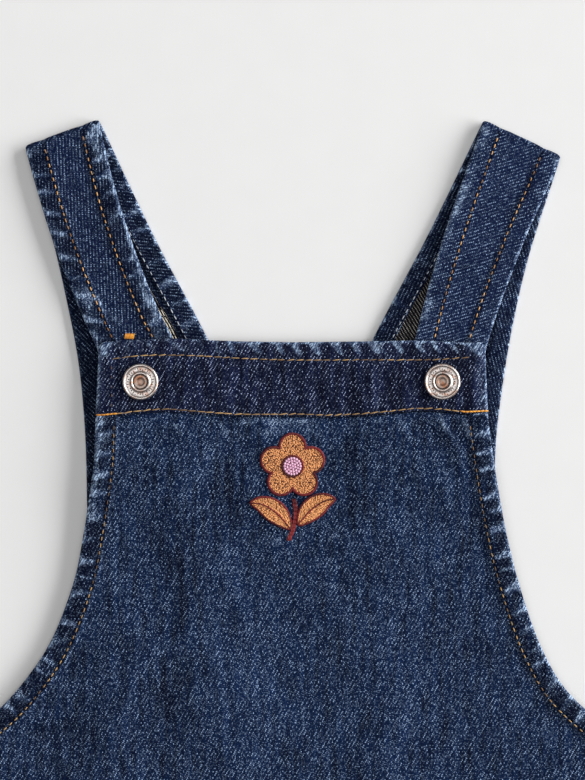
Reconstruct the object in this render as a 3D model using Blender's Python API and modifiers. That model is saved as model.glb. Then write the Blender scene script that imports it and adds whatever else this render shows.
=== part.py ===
"""A toddler's denim skirtall, laid flat on a table with its front up.

The garment is an A-line front that runs from the bib to the hem, a back that is cut in one
piece with its two straps, and two tack buttons. Each strap turns over at the shoulder and
comes down behind the bib, where a button holds it.

Lengths are in millimetres, and Grid.to_metres() turns them into metres where a mesh is made.
X runs to the wearer's left, Y from hem to straps, and Z up from the table. Most tables give a
place on the garment as x from the centre line and drop, the distance below the bib's top edge.
"""

import math

import bmesh
import bpy
import numpy as np

# Cloth thicknesses
CLOTH = 1.2  # one layer of denim
TURNING = 1.0  # what a turned and stitched edge adds
STRAP_TURNING = 0.8  # the same on the front of a strap, pressed flatter
BAND_CLOTH = 2.4  # the bib's top band, two layers
SEAM_GAP = 0.3  # between two pieces that are sewn, or that lie on each other

# Widths of turned edges
EDGE_TURN = 8.0  # armholes, neck and straps
EDGE_STEP = 0.8  # the slope where a turned edge ends
MITRE_LIMIT = 0.6  # least cosine that a mitred corner is drawn with
SKIRT_HEM = 20.0

# Overall sizes
BIB_TO_HEM = 396.0  # down the centre front
STRAP_RISE = 93.1  # from the bib's top edge to the highest shoulder fold
BAND_DEPTH = 29.8
BIB_CORNER = 2.8  # radius of the bib's top corners
UNDERARM = (145.5, 167.5)  # x and drop of the corner between armhole and side seam
HEM_CORNER = (200.0, 387.0)  # x and drop of the skirt's corner
NECK_DROP = 52.0  # lowest point of the back neckline
FRONT_RAISE = 2.5  # height of the front's inside where it lies on the back's turned edges
STRAP_LIFT = 2.3  # how much more the straps lift it at the bib
LIFT_ENDS = (44.0, 112.0)  # drops between which that lift dies away
CENTRE_SAG = 1.2  # how far the bib sinks between the straps
SAG_HALF_WIDTH = 34.0

# Right and left edges of the front, armhole side. Columns: drop, left x, right x
FRONT_EDGES = (
    (0.0, -80.9, 80.5),
    (30.2, -82.4, 81.7),
    (50.4, -83.1, 84.3),
    (64.9, -85.0, 86.6),
    (80.2, -87.4, 89.5),
    (100.4, -91.5, 94.5),
    (126.8, -101.8, 103.5),
    (143.6, -113.2, 112.6),
    (153.9, -122.6, 122.2),
    (162.6, -134.0, 133.8),
    (UNDERARM[1], -UNDERARM[0], UNDERARM[0]),
)

# Armhole edges of the back, from the underarm up to the shoulder fold. Columns: x, drop
BACK_ARMHOLE_LEFT = (
    (-UNDERARM[0], UNDERARM[1]),
    (-133.0, 163.4),
    (-112.2, 144.8),
    (-100.8, 127.5),
    (-90.6, 100.6),
    (-86.6, 80.2),
    (-86.3, 64.9),
    (-87.3, 34.4),
    (-90.0, 8.0),
    (-94.8, -17.0),
    (-100.6, -42.0),
    (-112.3, -81.9),
)
BACK_ARMHOLE_RIGHT = (
    (UNDERARM[0], UNDERARM[1]),
    (132.8, 163.4),
    (111.6, 144.8),
    (102.6, 127.5),
    (93.4, 100.6),
    (88.4, 80.2),
    (85.4, 62.0),
    (85.3, 43.5),
    (88.3, 17.8),
    (92.5, -7.0),
    (99.0, -35.0),
    (112.7, -77.7),
)

# Neckline of the back, from its lowest point up a strap to the shoulder fold. Columns: x, drop
NECK_LEFT = (
    (0.0, NECK_DROP),
    (-9.0, 49.0),
    (-18.0, 37.5),
    (-26.5, 20.0),
    (-35.6, -0.8),
    (-58.0, -43.6),
    (-81.4, -93.1),
)
NECK_RIGHT = (
    (0.0, NECK_DROP),
    (8.8, 49.0),
    (17.4, 37.5),
    (24.6, 20.0),
    (33.8, -0.8),
    (56.4, -43.6),
    (80.3, -92.8),
)

# A strap's front half, from the shoulder fold to its end behind the bib.
# Columns: drop, and the x of its armhole edge and of its neck edge
STRAP_FRONT_LEFT = (
    ((-112.3, -81.9), (-81.4, -93.1)),
    ((-107.9, -66.0), (-76.8, -73.5)),
    ((-102.3, -47.4), (-72.0, -56.0)),
    ((-95.4, -28.2), (-63.7, -31.6)),
    ((-87.2, -8.4), (-55.4, -11.2)),
    ((-80.4, 8.0), (-48.4, 3.4)),
    ((-77.2, 37.8), (-45.4, 36.4)),
)
STRAP_FRONT_RIGHT = (
    ((112.7, -77.7), (80.3, -92.8)),
    ((106.7, -63.4), (74.7, -77.0)),
    ((98.9, -46.0), (67.3, -56.2)),
    ((92.3, -29.4), (60.1, -33.6)),
    ((86.4, -13.4), (55.4, -17.0)),
    ((80.6, 6.0), (50.6, 3.4)),
    ((77.0, 37.0), (46.4, 37.4)),
)

# Soft folds across the front. Columns: x and drop at each end, half width, height
FRONT_FOLDS = (
    (-46.0, 60.0, -40.0, 150.0, 11.0, 1.0),
    (-70.0, 120.0, -92.0, 330.0, 16.0, 1.6),
    (-22.0, 140.0, -30.0, 360.0, 17.0, 1.4),
    (34.0, 90.0, 40.0, 215.0, 13.0, 1.1),
    (44.0, 200.0, 66.0, 372.0, 17.0, 1.7),
    (112.0, 205.0, 140.0, 370.0, 14.0, 1.5),
    (-128.0, 215.0, -150.0, 370.0, 13.0, 1.3),
    (-8.0, 84.0, 20.0, 118.0, 9.0, 0.7),
)

FOLD_FADE = 22.0  # how far past its ends a soft fold dies away

# Tack buttons: x and drop of each centre
BUTTONS = {"left": (-63.5, 17.2), "right": (62.6, 17.1)}
BUTTONHOLE_RADIUS = 2.6
NAIL_PLATE_RADIUS = 4.5
NAIL_PLATE = 0.7
NAIL_SHANK = 1.9
BUTTONHOLE_CUT = 6.0  # length of the tool that cuts a buttonhole
BUTTONHOLE_SIDES = 20
BUTTON_STEPS = 40

# A button's cap, outside first and down. Columns: radius, height over its underside
CAP_PROFILE = (
    (3.4, 2.2),
    (3.9, 2.2),
    (4.3, 1.6),
    (6.2, 1.5),
    (6.6, 1.9),
    (7.1, 1.9),
    (7.6, 1.3),
    (7.6, 0.5),
    (7.0, 0.0),
    (2.2, 0.0),
    (2.2, 1.0),
    (2.9, 1.0),
    (3.0, 1.9),
)
NAIL_TIP = ((0.0, 1.9), (1.5, 1.85), (2.2, 1.65), (2.4, 1.3), (NAIL_SHANK, 1.3))

# Embroidered sprig on the bib
MOTIF_CLOTH = 0.9
FLOWER_CENTRE = (0.0, 52.5)  # x and drop
FLOWER_RADIUS = 13.6
PETALS = 5
PETAL_NOTCH = 0.34  # share of the radius lost between two petals
STEM = ((0.6, 66.4), (1.2, 72.0), (0.4, 78.0), (-1.6, 83.2))
STEM_HALF_WIDTH = 0.8
LEAF_LEFT = ((-0.9, 78.6), (-6.6, 72.2), (-12.4, 68.6), (-17.4, 67.8))
LEAF_RIGHT = ((2.4, 77.0), (8.0, 70.6), (13.2, 67.2), (17.6, 66.2))
LEAF_HALF_WIDTH = 4.1
LEAF_TIP_HALF_WIDTH = 0.25

# Mesh density
CURVE_STEPS = 40  # points between two rows of a table, before they are spaced out
FINE_POINTS = 260  # points of a whole edge, from which its rows are taken
ARMHOLE_ROWS = 18
BACK_ARMHOLE_ROWS = 13
BAND_ROWS = 5
CORNER_ANGLES = (0.0, 30.0, 60.0, 90.0)
SIDE_ROWS = 15
LEG_ROWS = 17
FOLD_STEPS = 6
STRAP_ROWS = 15
FOLD_FLAT_ROWS = 2.0  # rows over which a turned edge runs out at the shoulder fold
NECK_START_ROWS = 5.0  # rows over which the neck's turned edge grows from its lowest point
INNER_COLUMNS = 8  # between the turned edges, on half of the width
STRIP_COLUMNS = 5
STEM_ROWS = 8
LEAF_ROWS = 13
FLOWER_STEPS = 60
FLOWER_RINGS = 5

# Colours as linear RGB, with roughness and metallic value
DENIM = ((0.022, 0.050, 0.125), 0.85, 0.0)
DARK_DENIM = ((0.012, 0.022, 0.062), 0.85, 0.0)
TAN_THREAD = ((0.62, 0.31, 0.12), 0.6, 0.0)
NICKEL = ((0.62, 0.58, 0.55), 0.32, 1.0)
COPPER = ((0.55, 0.30, 0.20), 0.4, 1.0)

TOP_Y = (BIB_TO_HEM + STRAP_RISE) / 2
BIB_Y = TOP_Y - STRAP_RISE  # height of the bib's top edge over the middle of the garment


def ease(share):
    """0 below 0, 1 above 1, and a smooth S between them."""
    share = np.clip(share, 0.0, 1.0)
    return share * share * (3.0 - 2.0 * share)


def smooth_line(points, count):
    """count points at even distances along one smooth curve through the given points."""
    points = np.array(points, float)
    steps = np.sqrt(np.linalg.norm(np.diff(points, axis=0), axis=1))
    knots = np.concatenate([[0.0], np.cumsum(steps)])
    slopes = np.gradient(points, knots, axis=0)
    fine = []
    for index in range(len(points) - 1):
        width = knots[index + 1] - knots[index]
        t = np.linspace(0.0, 1.0, CURVE_STEPS, endpoint=index == len(points) - 2)[:, None]
        fine.append(
            (2 * t**3 - 3 * t**2 + 1) * points[index]
            + (t**3 - 2 * t**2 + t) * width * slopes[index]
            + (3 * t**2 - 2 * t**3) * points[index + 1]
            + (t**3 - t**2) * width * slopes[index + 1]
        )
    return spaced_line(np.concatenate(fine), count)


def spaced_line(points, count):
    """count points at even distances along a line of many points."""
    along = np.concatenate(
        [[0.0], np.cumsum(np.linalg.norm(np.diff(points, axis=0), axis=1))]
    )
    at = np.linspace(0.0, along[-1], count)
    return np.stack([np.interp(at, along, points[:, k]) for k in range(2)], axis=1)


def inset(edge, width, side):
    """The edge moved by width, with mitred corners.

    side is 1 where a left edge that runs upwards moves inwards, and -1 where it runs down.
    """
    ahead = np.diff(edge, axis=0)
    ahead /= np.linalg.norm(ahead, axis=1)[:, None]
    before = np.vstack([ahead[:1], ahead])
    after = np.vstack([ahead, ahead[-1:]])
    normals = np.stack([-before[:, 1] - after[:, 1], before[:, 0] + after[:, 0]], axis=1)
    normals *= side / np.linalg.norm(normals, axis=1)[:, None]
    own = side * np.stack([-after[:, 1], after[:, 0]], axis=1)
    mitre = 1.0 / np.clip((normals * own).sum(axis=1), MITRE_LIMIT, 1.0)
    return edge + normals * (width * mitre)[:, None]


def front_inside(x, drop):
    """Height of the front's inner face over the table."""
    held = 1.0 - ease((drop - LIFT_ENDS[0]) / (LIFT_ENDS[1] - LIFT_ENDS[0]))
    height = FRONT_RAISE + STRAP_LIFT * held
    height -= CENTRE_SAG * held * np.exp(-((x / SAG_HALF_WIDTH) ** 4))
    for x0, drop0, x1, drop1, half_width, rise in FRONT_FOLDS:
        share = np.clip((drop - drop0) / (drop1 - drop0), 0.0, 1.0)
        across = (x - (x0 + (x1 - x0) * share)) / half_width
        beyond = np.maximum(drop0 - drop, 0.0) + np.maximum(drop - drop1, 0.0)
        height += rise * np.exp(-(across**2) - (beyond / FOLD_FADE) ** 2)
    return height


def front_outside(x, drop):
    """Height of the front's outer face where the cloth is one layer."""
    return front_inside(x, drop) + CLOTH


class Grid:
    """Rows of points across a piece of cloth, with the height of its two faces."""

    def __init__(self, plan, under, over):
        self.plan = plan  # rows x columns x (x, drop)
        self.under = under
        self.over = over

    def to_metres(self, height):
        """The grid's points at those heights, in the garment's frame."""
        y = BIB_Y - self.plan[..., 1]
        return np.stack([self.plan[..., 0], y, height], axis=-1) * 0.001


def across(left, left_turn, right, right_turn, columns, sag=None):
    """Rows of points from edge to edge, with a pair of columns where each turned edge ends."""
    half_step = EDGE_STEP / 2
    rows = []
    for index, (a, a_turn, b, b_turn) in enumerate(
        zip(left, left_turn, right, right_turn)
    ):
        a_in = (a_turn - a) / np.linalg.norm(a_turn - a)
        b_in = (b_turn - b) / np.linalg.norm(b_turn - b)
        start, end = a_turn + a_in * half_step, b_turn + b_in * half_step
        shares = np.linspace(0.0, 1.0, columns)
        inner = start + (end - start) * shares[:, None]
        if sag is not None:
            inner[:, 1] += sag[index] * (1.0 - (2.0 * shares - 1.0) ** 2)
        rows.append(
            np.vstack([a, a_turn - a_in * half_step, inner, b_turn - b_in * half_step, b])
        )
    return np.array(rows)


def along_rung(edge, other, width):
    """The edge moved by width straight towards the other edge, point by point."""
    towards = other - edge
    return edge + towards * (width / np.linalg.norm(towards, axis=1))[:, None]


def turned(columns, left=1.0, right=1.0):
    """1 in the columns of a turned edge and 0 between them."""
    shares = np.zeros(columns + 4)
    shares[:2] = left
    shares[-2:] = right
    return shares


def add_wall(bm, outer, inner, rims="nsew"):
    """Two faces of a wall, and its rims: n the last row, s the first, w and e the sides."""
    a = [[bm.verts.new(p) for p in row] for row in outer]
    b = [[bm.verts.new(p) for p in row] for row in inner]
    last_row, last = len(a) - 1, len(a[0]) - 1
    for r in range(last_row):
        for c in range(last):
            bm.faces.new((a[r][c], a[r][c + 1], a[r + 1][c + 1], a[r + 1][c]))
            bm.faces.new((b[r][c], b[r + 1][c], b[r + 1][c + 1], b[r][c + 1]))
    borders = {
        "s": [(0, c) for c in range(last + 1)],
        "n": [(last_row, c) for c in range(last, -1, -1)],
        "w": [(r, 0) for r in range(last_row, -1, -1)],
        "e": [(r, last) for r in range(last_row + 1)],
    }
    for side in rims:
        border = borders[side]
        for (r0, c0), (r1, c1) in zip(border, border[1:]):
            bm.faces.new((a[r0][c0], b[r0][c0], b[r1][c1], a[r1][c1]))


def finish(name, bm, finish_values):
    """Closes a mesh, and makes the named object with its material."""
    bmesh.ops.remove_doubles(bm, verts=bm.verts, dist=1e-6)
    bmesh.ops.recalc_face_normals(bm, faces=bm.faces)
    if bm.calc_volume(signed=True) < 0.0:
        bmesh.ops.reverse_faces(bm, faces=bm.faces)
    mesh = bpy.data.meshes.new(name)
    bm.to_mesh(mesh)
    bm.free()
    mesh.shade_smooth()
    mesh.set_sharp_from_angle(angle=math.radians(40))
    obj = bpy.data.objects.new(name, mesh)
    dress(obj, finish_values)
    bpy.data.collections["skirtall"].objects.link(obj)
    return obj


def dress(obj, finish_values):
    """Gives an object its own material."""
    colour, roughness, metallic = finish_values
    material = bpy.data.materials.new(obj.name)
    material.use_nodes = True
    shader = material.node_tree.nodes["Principled BSDF"]
    shader.inputs["Base Color"].default_value = (*colour, 1.0)
    shader.inputs["Roughness"].default_value = roughness
    shader.inputs["Metallic"].default_value = metallic
    obj.data.materials.append(material)


def side_shares():
    """Shares of the side seam's length at which rows cross it, closer at the hem's top."""
    length = math.dist(UNDERARM, HEM_CORNER)
    hem = 1.0 - SKIRT_HEM / length
    step = EDGE_STEP / 2 / length
    return np.concatenate(
        [np.linspace(0.0, hem - step, SIDE_ROWS)[1:], [hem + step, 1.0]]
    )


def side_seam(side):
    """Points down a side seam, without the underarm. side is -1 on the left."""
    start, end = np.array(UNDERARM), np.array(HEM_CORNER)
    points = start + (end - start) * side_shares()[:, None]
    return points * (side, 1.0)


def hem_sag():
    """How far each row of the skirt hangs below its turned edges, from 0 at the underarm."""
    slope = (HEM_CORNER[0] - UNDERARM[0]) / math.dist(UNDERARM, HEM_CORNER)
    return (BIB_TO_HEM - HEM_CORNER[1] - EDGE_TURN * slope) * side_shares()


def corner_inset(drop):
    """How far the bib's rounded corner cuts in at that drop."""
    inside = np.clip(BIB_CORNER - drop, 0.0, BIB_CORNER)
    return BIB_CORNER - np.sqrt(BIB_CORNER**2 - inside**2)


def front_edge(column, drops):
    """Points on one edge of the bib at the given drops. column is 1 left, 2 right."""
    table = np.array(FRONT_EDGES)
    x = np.interp(drops, table[:, 0], table[:, column])
    x = x - np.sign(x) * corner_inset(drops)
    return np.stack([x, drops], axis=1)


def make_bib_band():
    """The band across the bib's top: cloth turned double, with rounded top corners."""
    corner = BIB_CORNER * (1.0 - np.cos(np.radians(CORNER_ANGLES)))
    drops = np.concatenate([corner, np.linspace(BIB_CORNER, BAND_DEPTH, BAND_ROWS + 1)[1:]])
    left, right = front_edge(1, drops), front_edge(2, drops)
    plan = across(
        left,
        along_rung(left, right, EDGE_TURN),
        right,
        along_rung(right, left, EDGE_TURN),
        2 * INNER_COLUMNS,
    )
    under = front_inside(plan[..., 0], plan[..., 1])
    grid = Grid(plan, under, under + BAND_CLOTH)
    bm = bmesh.new()
    add_wall(bm, grid.to_metres(grid.over), grid.to_metres(grid.under))
    band = finish("bib_band", bm, DARK_DENIM)
    for side, (x, drop) in BUTTONS.items():
        cut_hole(band, f"band_buttonhole_{side}", x, drop, FRONT_RAISE + STRAP_LIFT)


def make_front():
    """The front, in one piece from under the band to the hem, with its armholes turned."""
    table = np.array(FRONT_EDGES)
    edges = []
    for column, side in ((1, -1.0), (2, 1.0)):
        whole = smooth_line(table[:, [column, 0]], FINE_POINTS)
        below = whole[whole[:, 1] > BAND_DEPTH + SEAM_GAP]
        start = front_edge(column, np.array([BAND_DEPTH + SEAM_GAP]))
        armhole = spaced_line(np.vstack([start, below]), ARMHOLE_ROWS)
        edges.append(np.vstack([armhole, side_seam(side)]))
    left, right = edges
    sag = np.concatenate([np.zeros(ARMHOLE_ROWS), hem_sag()])
    plan = across(
        left, inset(left, EDGE_TURN, -1.0), right, inset(right, EDGE_TURN, 1.0),
        2 * INNER_COLUMNS, sag,
    )
    under = front_inside(plan[..., 0], plan[..., 1])
    extra = np.tile(turned(2 * INNER_COLUMNS), (len(plan), 1))
    extra[-2:] = 1.0
    grid = Grid(plan, under, under + CLOTH + TURNING * extra)
    bm = bmesh.new()
    add_wall(bm, grid.to_metres(grid.over), grid.to_metres(grid.under))
    finish("front", bm, DENIM)


def leg_rows(armhole, neck, side):
    """A strap's back half as rows from its armhole edge to its neck edge."""
    outer = spaced_line(armhole, LEG_ROWS)
    inner = smooth_line(neck, LEG_ROWS)
    turn = inset(outer, EDGE_TURN, side)
    for end in (0, -1):
        turn[end] = along_rung(outer, inner, EDGE_TURN)[end]
    neck_turn = along_rung(inner, turn, EDGE_TURN)
    return across(outer, turn, inner, neck_turn, INNER_COLUMNS)


def fold_frame(table):
    """The shoulder fold's two ends and the direction over it, in plan."""
    outer, inner = np.array(table[0][0]), np.array(table[0][1])
    along = (inner - outer) / np.linalg.norm(inner - outer)
    over = np.array([along[1], -along[0]])
    return over if over[1] < 0 else -over


def strap_walls(bm, rows, table):
    """Adds one strap to a mesh: its back half, the shoulder fold and its front half."""
    outer_radius = (FRONT_RAISE + CLOTH) / 2
    inner_radius = outer_radius - CLOTH
    over = fold_frame(table)
    axis = rows[-1] - over * outer_radius
    back = np.concatenate([rows[:-1], axis[None]])
    to_fold = len(back) - 1 - np.arange(len(back))
    ramp = np.clip(to_fold / FOLD_FLAT_ROWS, 0.0, 1.0)[:, None]
    neck_ramp = ease(np.arange(len(back)) / NECK_START_ROWS)[:, None] * ramp
    outside = np.zeros(back.shape[:2])
    inside = CLOTH + TURNING * (
        ramp * turned(INNER_COLUMNS, 1.0, 0.0)
        + neck_ramp * turned(INNER_COLUMNS, 0.0, 1.0)
    )
    plan_out, plan_in = [back], [back]
    height_out, height_in = [outside], [inside]
    for angle in np.linspace(-90.0, 90.0, FOLD_STEPS + 1)[1:-1]:
        reach, lift = math.cos(math.radians(angle)), math.sin(math.radians(angle))
        for radius, plans, heights in (
            (outer_radius, plan_out, height_out),
            (inner_radius, plan_in, height_in),
        ):
            plans.append((axis + over * radius * reach)[None])
            heights.append(np.full((1, len(axis)), outer_radius + radius * lift))
    front = strap_front_rows(axis, over * outer_radius, table)
    swell = ease(np.arange(len(front)) / FOLD_FLAT_ROWS)[:, None] * turned(INNER_COLUMNS)
    for plans in (plan_out, plan_in):
        plans.append(front)
    height_in.append(np.full(front.shape[:2], FRONT_RAISE))
    height_out.append(FRONT_RAISE + CLOTH + STRAP_TURNING * swell)
    under = Grid(np.concatenate(plan_in), None, None)
    over_grid = Grid(np.concatenate(plan_out), None, None)
    add_wall(
        bm,
        over_grid.to_metres(np.concatenate(height_out)),
        under.to_metres(np.concatenate(height_in)),
        "new",
    )


def strap_front_rows(axis, shift, table):
    """Rows down a strap's front half, the first of them on the fold's axis."""
    outer = smooth_line([row[0] for row in table], STRAP_ROWS)
    inner = smooth_line([row[1] for row in table], STRAP_ROWS)
    outer[0], inner[0] = outer[0] - shift, inner[0] - shift
    rows = across(
        outer,
        along_rung(outer, inner, EDGE_TURN),
        inner,
        along_rung(inner, outer, EDGE_TURN),
        INNER_COLUMNS,
    )
    rows[0] = axis
    return rows


def make_back():
    """The back and both straps, cut in one piece, with a turned edge on the inside."""
    sides = []
    for table, side in ((BACK_ARMHOLE_LEFT, -1.0), (BACK_ARMHOLE_RIGHT, 1.0)):
        whole = smooth_line(table, FINE_POINTS)
        split = int(np.argmax(whole[:, 1] < NECK_DROP))
        low, high = whole[: split + 1], whole[split:]
        body = spaced_line(low, BACK_ARMHOLE_ROWS)
        edge = np.vstack([side_seam(side)[::-1], body])
        sides.append((edge, high))
    (left, left_leg), (right, right_leg) = sides
    middle = np.stack([np.zeros(len(left)), (left[:, 1] + right[:, 1]) / 2], axis=1)
    sag = np.concatenate([hem_sag()[::-1], np.zeros(BACK_ARMHOLE_ROWS)])
    left_turn, right_turn = inset(left, EDGE_TURN, 1.0), inset(right, EDGE_TURN, -1.0)
    middle[:, 1] = (left_turn[:, 1] + right_turn[:, 1]) / 2
    middle[-1, 1] = NECK_DROP
    left_turn[-1] = along_rung(left[-1:], middle[-1:], EDGE_TURN)[0]
    right_turn[-1] = along_rung(right[-1:], middle[-1:], EDGE_TURN)[0]
    halves = []
    for edge, turn in ((left, left_turn), (right, right_turn)):
        to_middle = along_rung(middle, turn, EDGE_TURN)
        halves.append(across(edge, turn, middle, to_middle, INNER_COLUMNS))
    plan = np.concatenate([halves[0], halves[1][:, -2::-1]], axis=1)
    span = plan[..., 0] / np.abs(left[:, :1])
    plan[..., 1] += sag[:, None] * np.clip(1.0 - span**2, 0.0, 1.0)
    half = INNER_COLUMNS + 4
    extra = np.zeros(plan.shape[:2])
    extra[:, :2] = extra[:, -2:] = 1.0
    extra[:2] = 1.0
    bm = bmesh.new()
    grid = Grid(plan, np.zeros(plan.shape[:2]), CLOTH + TURNING * extra)
    add_wall(bm, grid.to_metres(grid.under), grid.to_metres(grid.over), "sew")
    left_rows = leg_rows(left_leg, NECK_LEFT, 1.0)
    right_rows = leg_rows(right_leg, NECK_RIGHT, -1.0)
    left_rows[0] = plan[-1, :half]
    right_rows[0] = plan[-1, : half - 2 : -1]
    strap_walls(bm, left_rows, STRAP_FRONT_LEFT)
    strap_walls(bm, right_rows, STRAP_FRONT_RIGHT)
    back = finish("back_with_straps", bm, DENIM)
    for side, (x, drop) in BUTTONS.items():
        cut_hole(back, f"strap_buttonhole_{side}", x, drop, FRONT_RAISE)


def cut_hole(obj, name, x, drop, floor):
    """Cuts a buttonhole through the layer of cloth that lies on the height of floor."""
    bm = bmesh.new()
    bmesh.ops.create_cone(
        bm,
        cap_ends=True,
        segments=BUTTONHOLE_SIDES,
        radius1=BUTTONHOLE_RADIUS * 0.001,
        radius2=BUTTONHOLE_RADIUS * 0.001,
        depth=BUTTONHOLE_CUT * 0.001,
    )
    mesh = bpy.data.meshes.new(name)
    bm.to_mesh(mesh)
    bm.free()
    cutter = bpy.data.objects.new(name, mesh)
    middle = floor - SEAM_GAP + BUTTONHOLE_CUT / 2
    cutter.location = (x * 0.001, (BIB_Y - drop) * 0.001, middle * 0.001)
    cutter.hide_render = True
    cutter.display_type = "WIRE"
    bpy.data.collections["cutters"].objects.link(cutter)
    cut = obj.modifiers.new(name, "BOOLEAN")
    cut.operation = "DIFFERENCE"
    cut.object = cutter


def make_turned(name, profile, closed, place, finish_values):
    """A piece turned about Z from its profile, standing at place."""
    mesh = bpy.data.meshes.new(name)
    points = [(radius * 0.001, 0.0, height * 0.001) for radius, height in profile]
    edges = [(i, i + 1) for i in range(len(points) - 1)]
    if closed:
        edges.append((len(points) - 1, 0))
    mesh.from_pydata(points, edges, [])
    obj = bpy.data.objects.new(name, mesh)
    obj.location = place
    turn = obj.modifiers.new("turn", "SCREW")
    turn.steps = turn.render_steps = BUTTON_STEPS
    turn.use_merge_vertices = True
    turn.merge_threshold = 0.00001
    turn.use_smooth_shade = False
    dress(obj, finish_values)
    bpy.data.collections["skirtall"].objects.link(obj)


def make_button(side):
    """A tack button: a ringed cap on the bib, and the nail that holds it to the strap."""
    x, drop = BUTTONS[side]
    ring = np.radians(np.arange(0, 360, 15))
    reach = CAP_PROFILE[6][0]
    around = front_inside(x + reach * np.cos(ring), drop + reach * np.sin(ring))
    seat = max(around.max(), front_inside(x, drop)) + BAND_CLOTH + SEAM_GAP
    place = (x * 0.001, (BIB_Y - drop) * 0.001, seat * 0.001)
    make_turned(f"button_cap_{side}", CAP_PROFILE, True, place, NICKEL)
    plate_top = FRONT_RAISE - SEAM_GAP - seat
    profile = NAIL_TIP + (
        (NAIL_SHANK, plate_top),
        (NAIL_PLATE_RADIUS, plate_top),
        (NAIL_PLATE_RADIUS, plate_top - NAIL_PLATE),
        (0.0, plate_top - NAIL_PLATE),
    )
    make_turned(f"button_nail_{side}", profile, False, place, COPPER)


def on_bib(plan):
    """A layer of embroidery that lies on the front over those points of its plan."""
    under = front_outside(plan[..., 0], plan[..., 1]) + SEAM_GAP
    return Grid(plan, under, under + MOTIF_CLOTH)


def make_flower():
    """The sprig's flower, a ring of round petals."""
    angles = np.arange(FLOWER_STEPS) * 2.0 * math.pi / FLOWER_STEPS
    petal = np.abs(np.cos(PETALS / 2.0 * (angles - math.pi / 2))) ** 0.75
    reach = FLOWER_RADIUS * (1.0 - PETAL_NOTCH * (1.0 - petal))
    shares = np.linspace(0.0, 1.0, FLOWER_RINGS + 1)[1:, None]
    plan = np.stack(
        [
            FLOWER_CENTRE[0] + shares * reach * np.cos(angles),
            FLOWER_CENTRE[1] - shares * reach * np.sin(angles),
        ],
        axis=-1,
    )
    plan = np.concatenate([plan, plan[:, :1]], axis=1)
    grid = on_bib(plan)
    centre = on_bib(np.array([[FLOWER_CENTRE]]))
    bm = bmesh.new()
    over, under = grid.to_metres(grid.over), grid.to_metres(grid.under)
    add_wall(bm, over, under, "n")
    for first_ring, middle in (
        (over[0], centre.to_metres(centre.over)[0, 0]),
        (under[0], centre.to_metres(centre.under)[0, 0]),
    ):
        hub = bm.verts.new(middle)
        ring = [bm.verts.new(p) for p in first_ring]
        for a, b in zip(ring, ring[1:]):
            bm.faces.new((hub, a, b))
    finish("sprig_flower", bm, TAN_THREAD)


def make_strip(name, line, half_widths):
    """A strip of embroidery along a line on the bib, as wide as half_widths says."""
    middle = smooth_line(line, len(half_widths))
    ahead = np.gradient(middle, axis=0)
    ahead /= np.linalg.norm(ahead, axis=1)[:, None]
    sideways = np.stack([-ahead[:, 1], ahead[:, 0]], axis=1) * half_widths[:, None]
    shares = np.linspace(-1.0, 1.0, STRIP_COLUMNS)[None, :, None]
    grid = on_bib(middle[:, None] + sideways[:, None] * shares)
    bm = bmesh.new()
    add_wall(bm, grid.to_metres(grid.over), grid.to_metres(grid.under))
    finish(name, bm, TAN_THREAD)


def make_sprig():
    """The embroidery on the bib: a flower, its stem and two leaves."""
    make_flower()
    make_strip("sprig_stem", STEM, np.full(STEM_ROWS, STEM_HALF_WIDTH))
    swell = np.sin(np.linspace(0.0, math.pi, LEAF_ROWS))
    leaf = LEAF_HALF_WIDTH * swell**0.8 + LEAF_TIP_HALF_WIDTH
    make_strip("sprig_leaf_left", LEAF_LEFT, leaf)
    make_strip("sprig_leaf_right", LEAF_RIGHT, leaf)


def main():
    """Clears the scene and builds the garment."""
    for obj in list(bpy.data.objects):
        bpy.data.objects.remove(obj)
    for name in ("skirtall", "cutters"):
        bpy.context.scene.collection.children.link(bpy.data.collections.new(name))
    bpy.data.collections["cutters"].hide_render = True
    make_back()
    make_front()
    make_bib_band()
    for side in BUTTONS:
        make_button(side)
    make_sprig()


main()
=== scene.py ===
"""Looks of a small child's denim skirtall that lies flat, front up, on a pale table.

Lengths are in millimetres, and become metres where a mesh is made. X runs to the wearer's
left, Y from the hem to the straps and Z up from the table. A place on the cloth is x from the
centre line and drop, the distance below the bib's top edge.
"""

import logging
import math
from dataclasses import dataclass, field
from enum import IntEnum

import bmesh
import bpy
import numpy as np
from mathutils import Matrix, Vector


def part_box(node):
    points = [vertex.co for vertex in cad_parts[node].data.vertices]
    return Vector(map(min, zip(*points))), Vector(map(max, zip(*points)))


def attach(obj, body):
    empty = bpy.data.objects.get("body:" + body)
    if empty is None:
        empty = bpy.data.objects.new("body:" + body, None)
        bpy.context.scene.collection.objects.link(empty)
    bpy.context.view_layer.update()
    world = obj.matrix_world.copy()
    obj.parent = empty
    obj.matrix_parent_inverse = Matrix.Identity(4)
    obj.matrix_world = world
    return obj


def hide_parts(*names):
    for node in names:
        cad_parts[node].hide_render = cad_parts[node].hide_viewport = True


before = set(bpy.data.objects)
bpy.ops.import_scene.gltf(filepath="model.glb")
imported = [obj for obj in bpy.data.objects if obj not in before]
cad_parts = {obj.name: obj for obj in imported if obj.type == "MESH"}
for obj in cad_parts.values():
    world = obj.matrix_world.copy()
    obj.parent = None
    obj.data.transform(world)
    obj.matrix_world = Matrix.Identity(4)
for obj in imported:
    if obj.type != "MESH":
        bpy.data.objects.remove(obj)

Array = np.ndarray
Colour = tuple[float, float, float]
Socket = bpy.types.NodeSocket
Object = bpy.types.Object

log = logging.getLogger("skirtall")

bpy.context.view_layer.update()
MM = 0.001
BIB_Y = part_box("bib_band")[1][1] / MM

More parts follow.
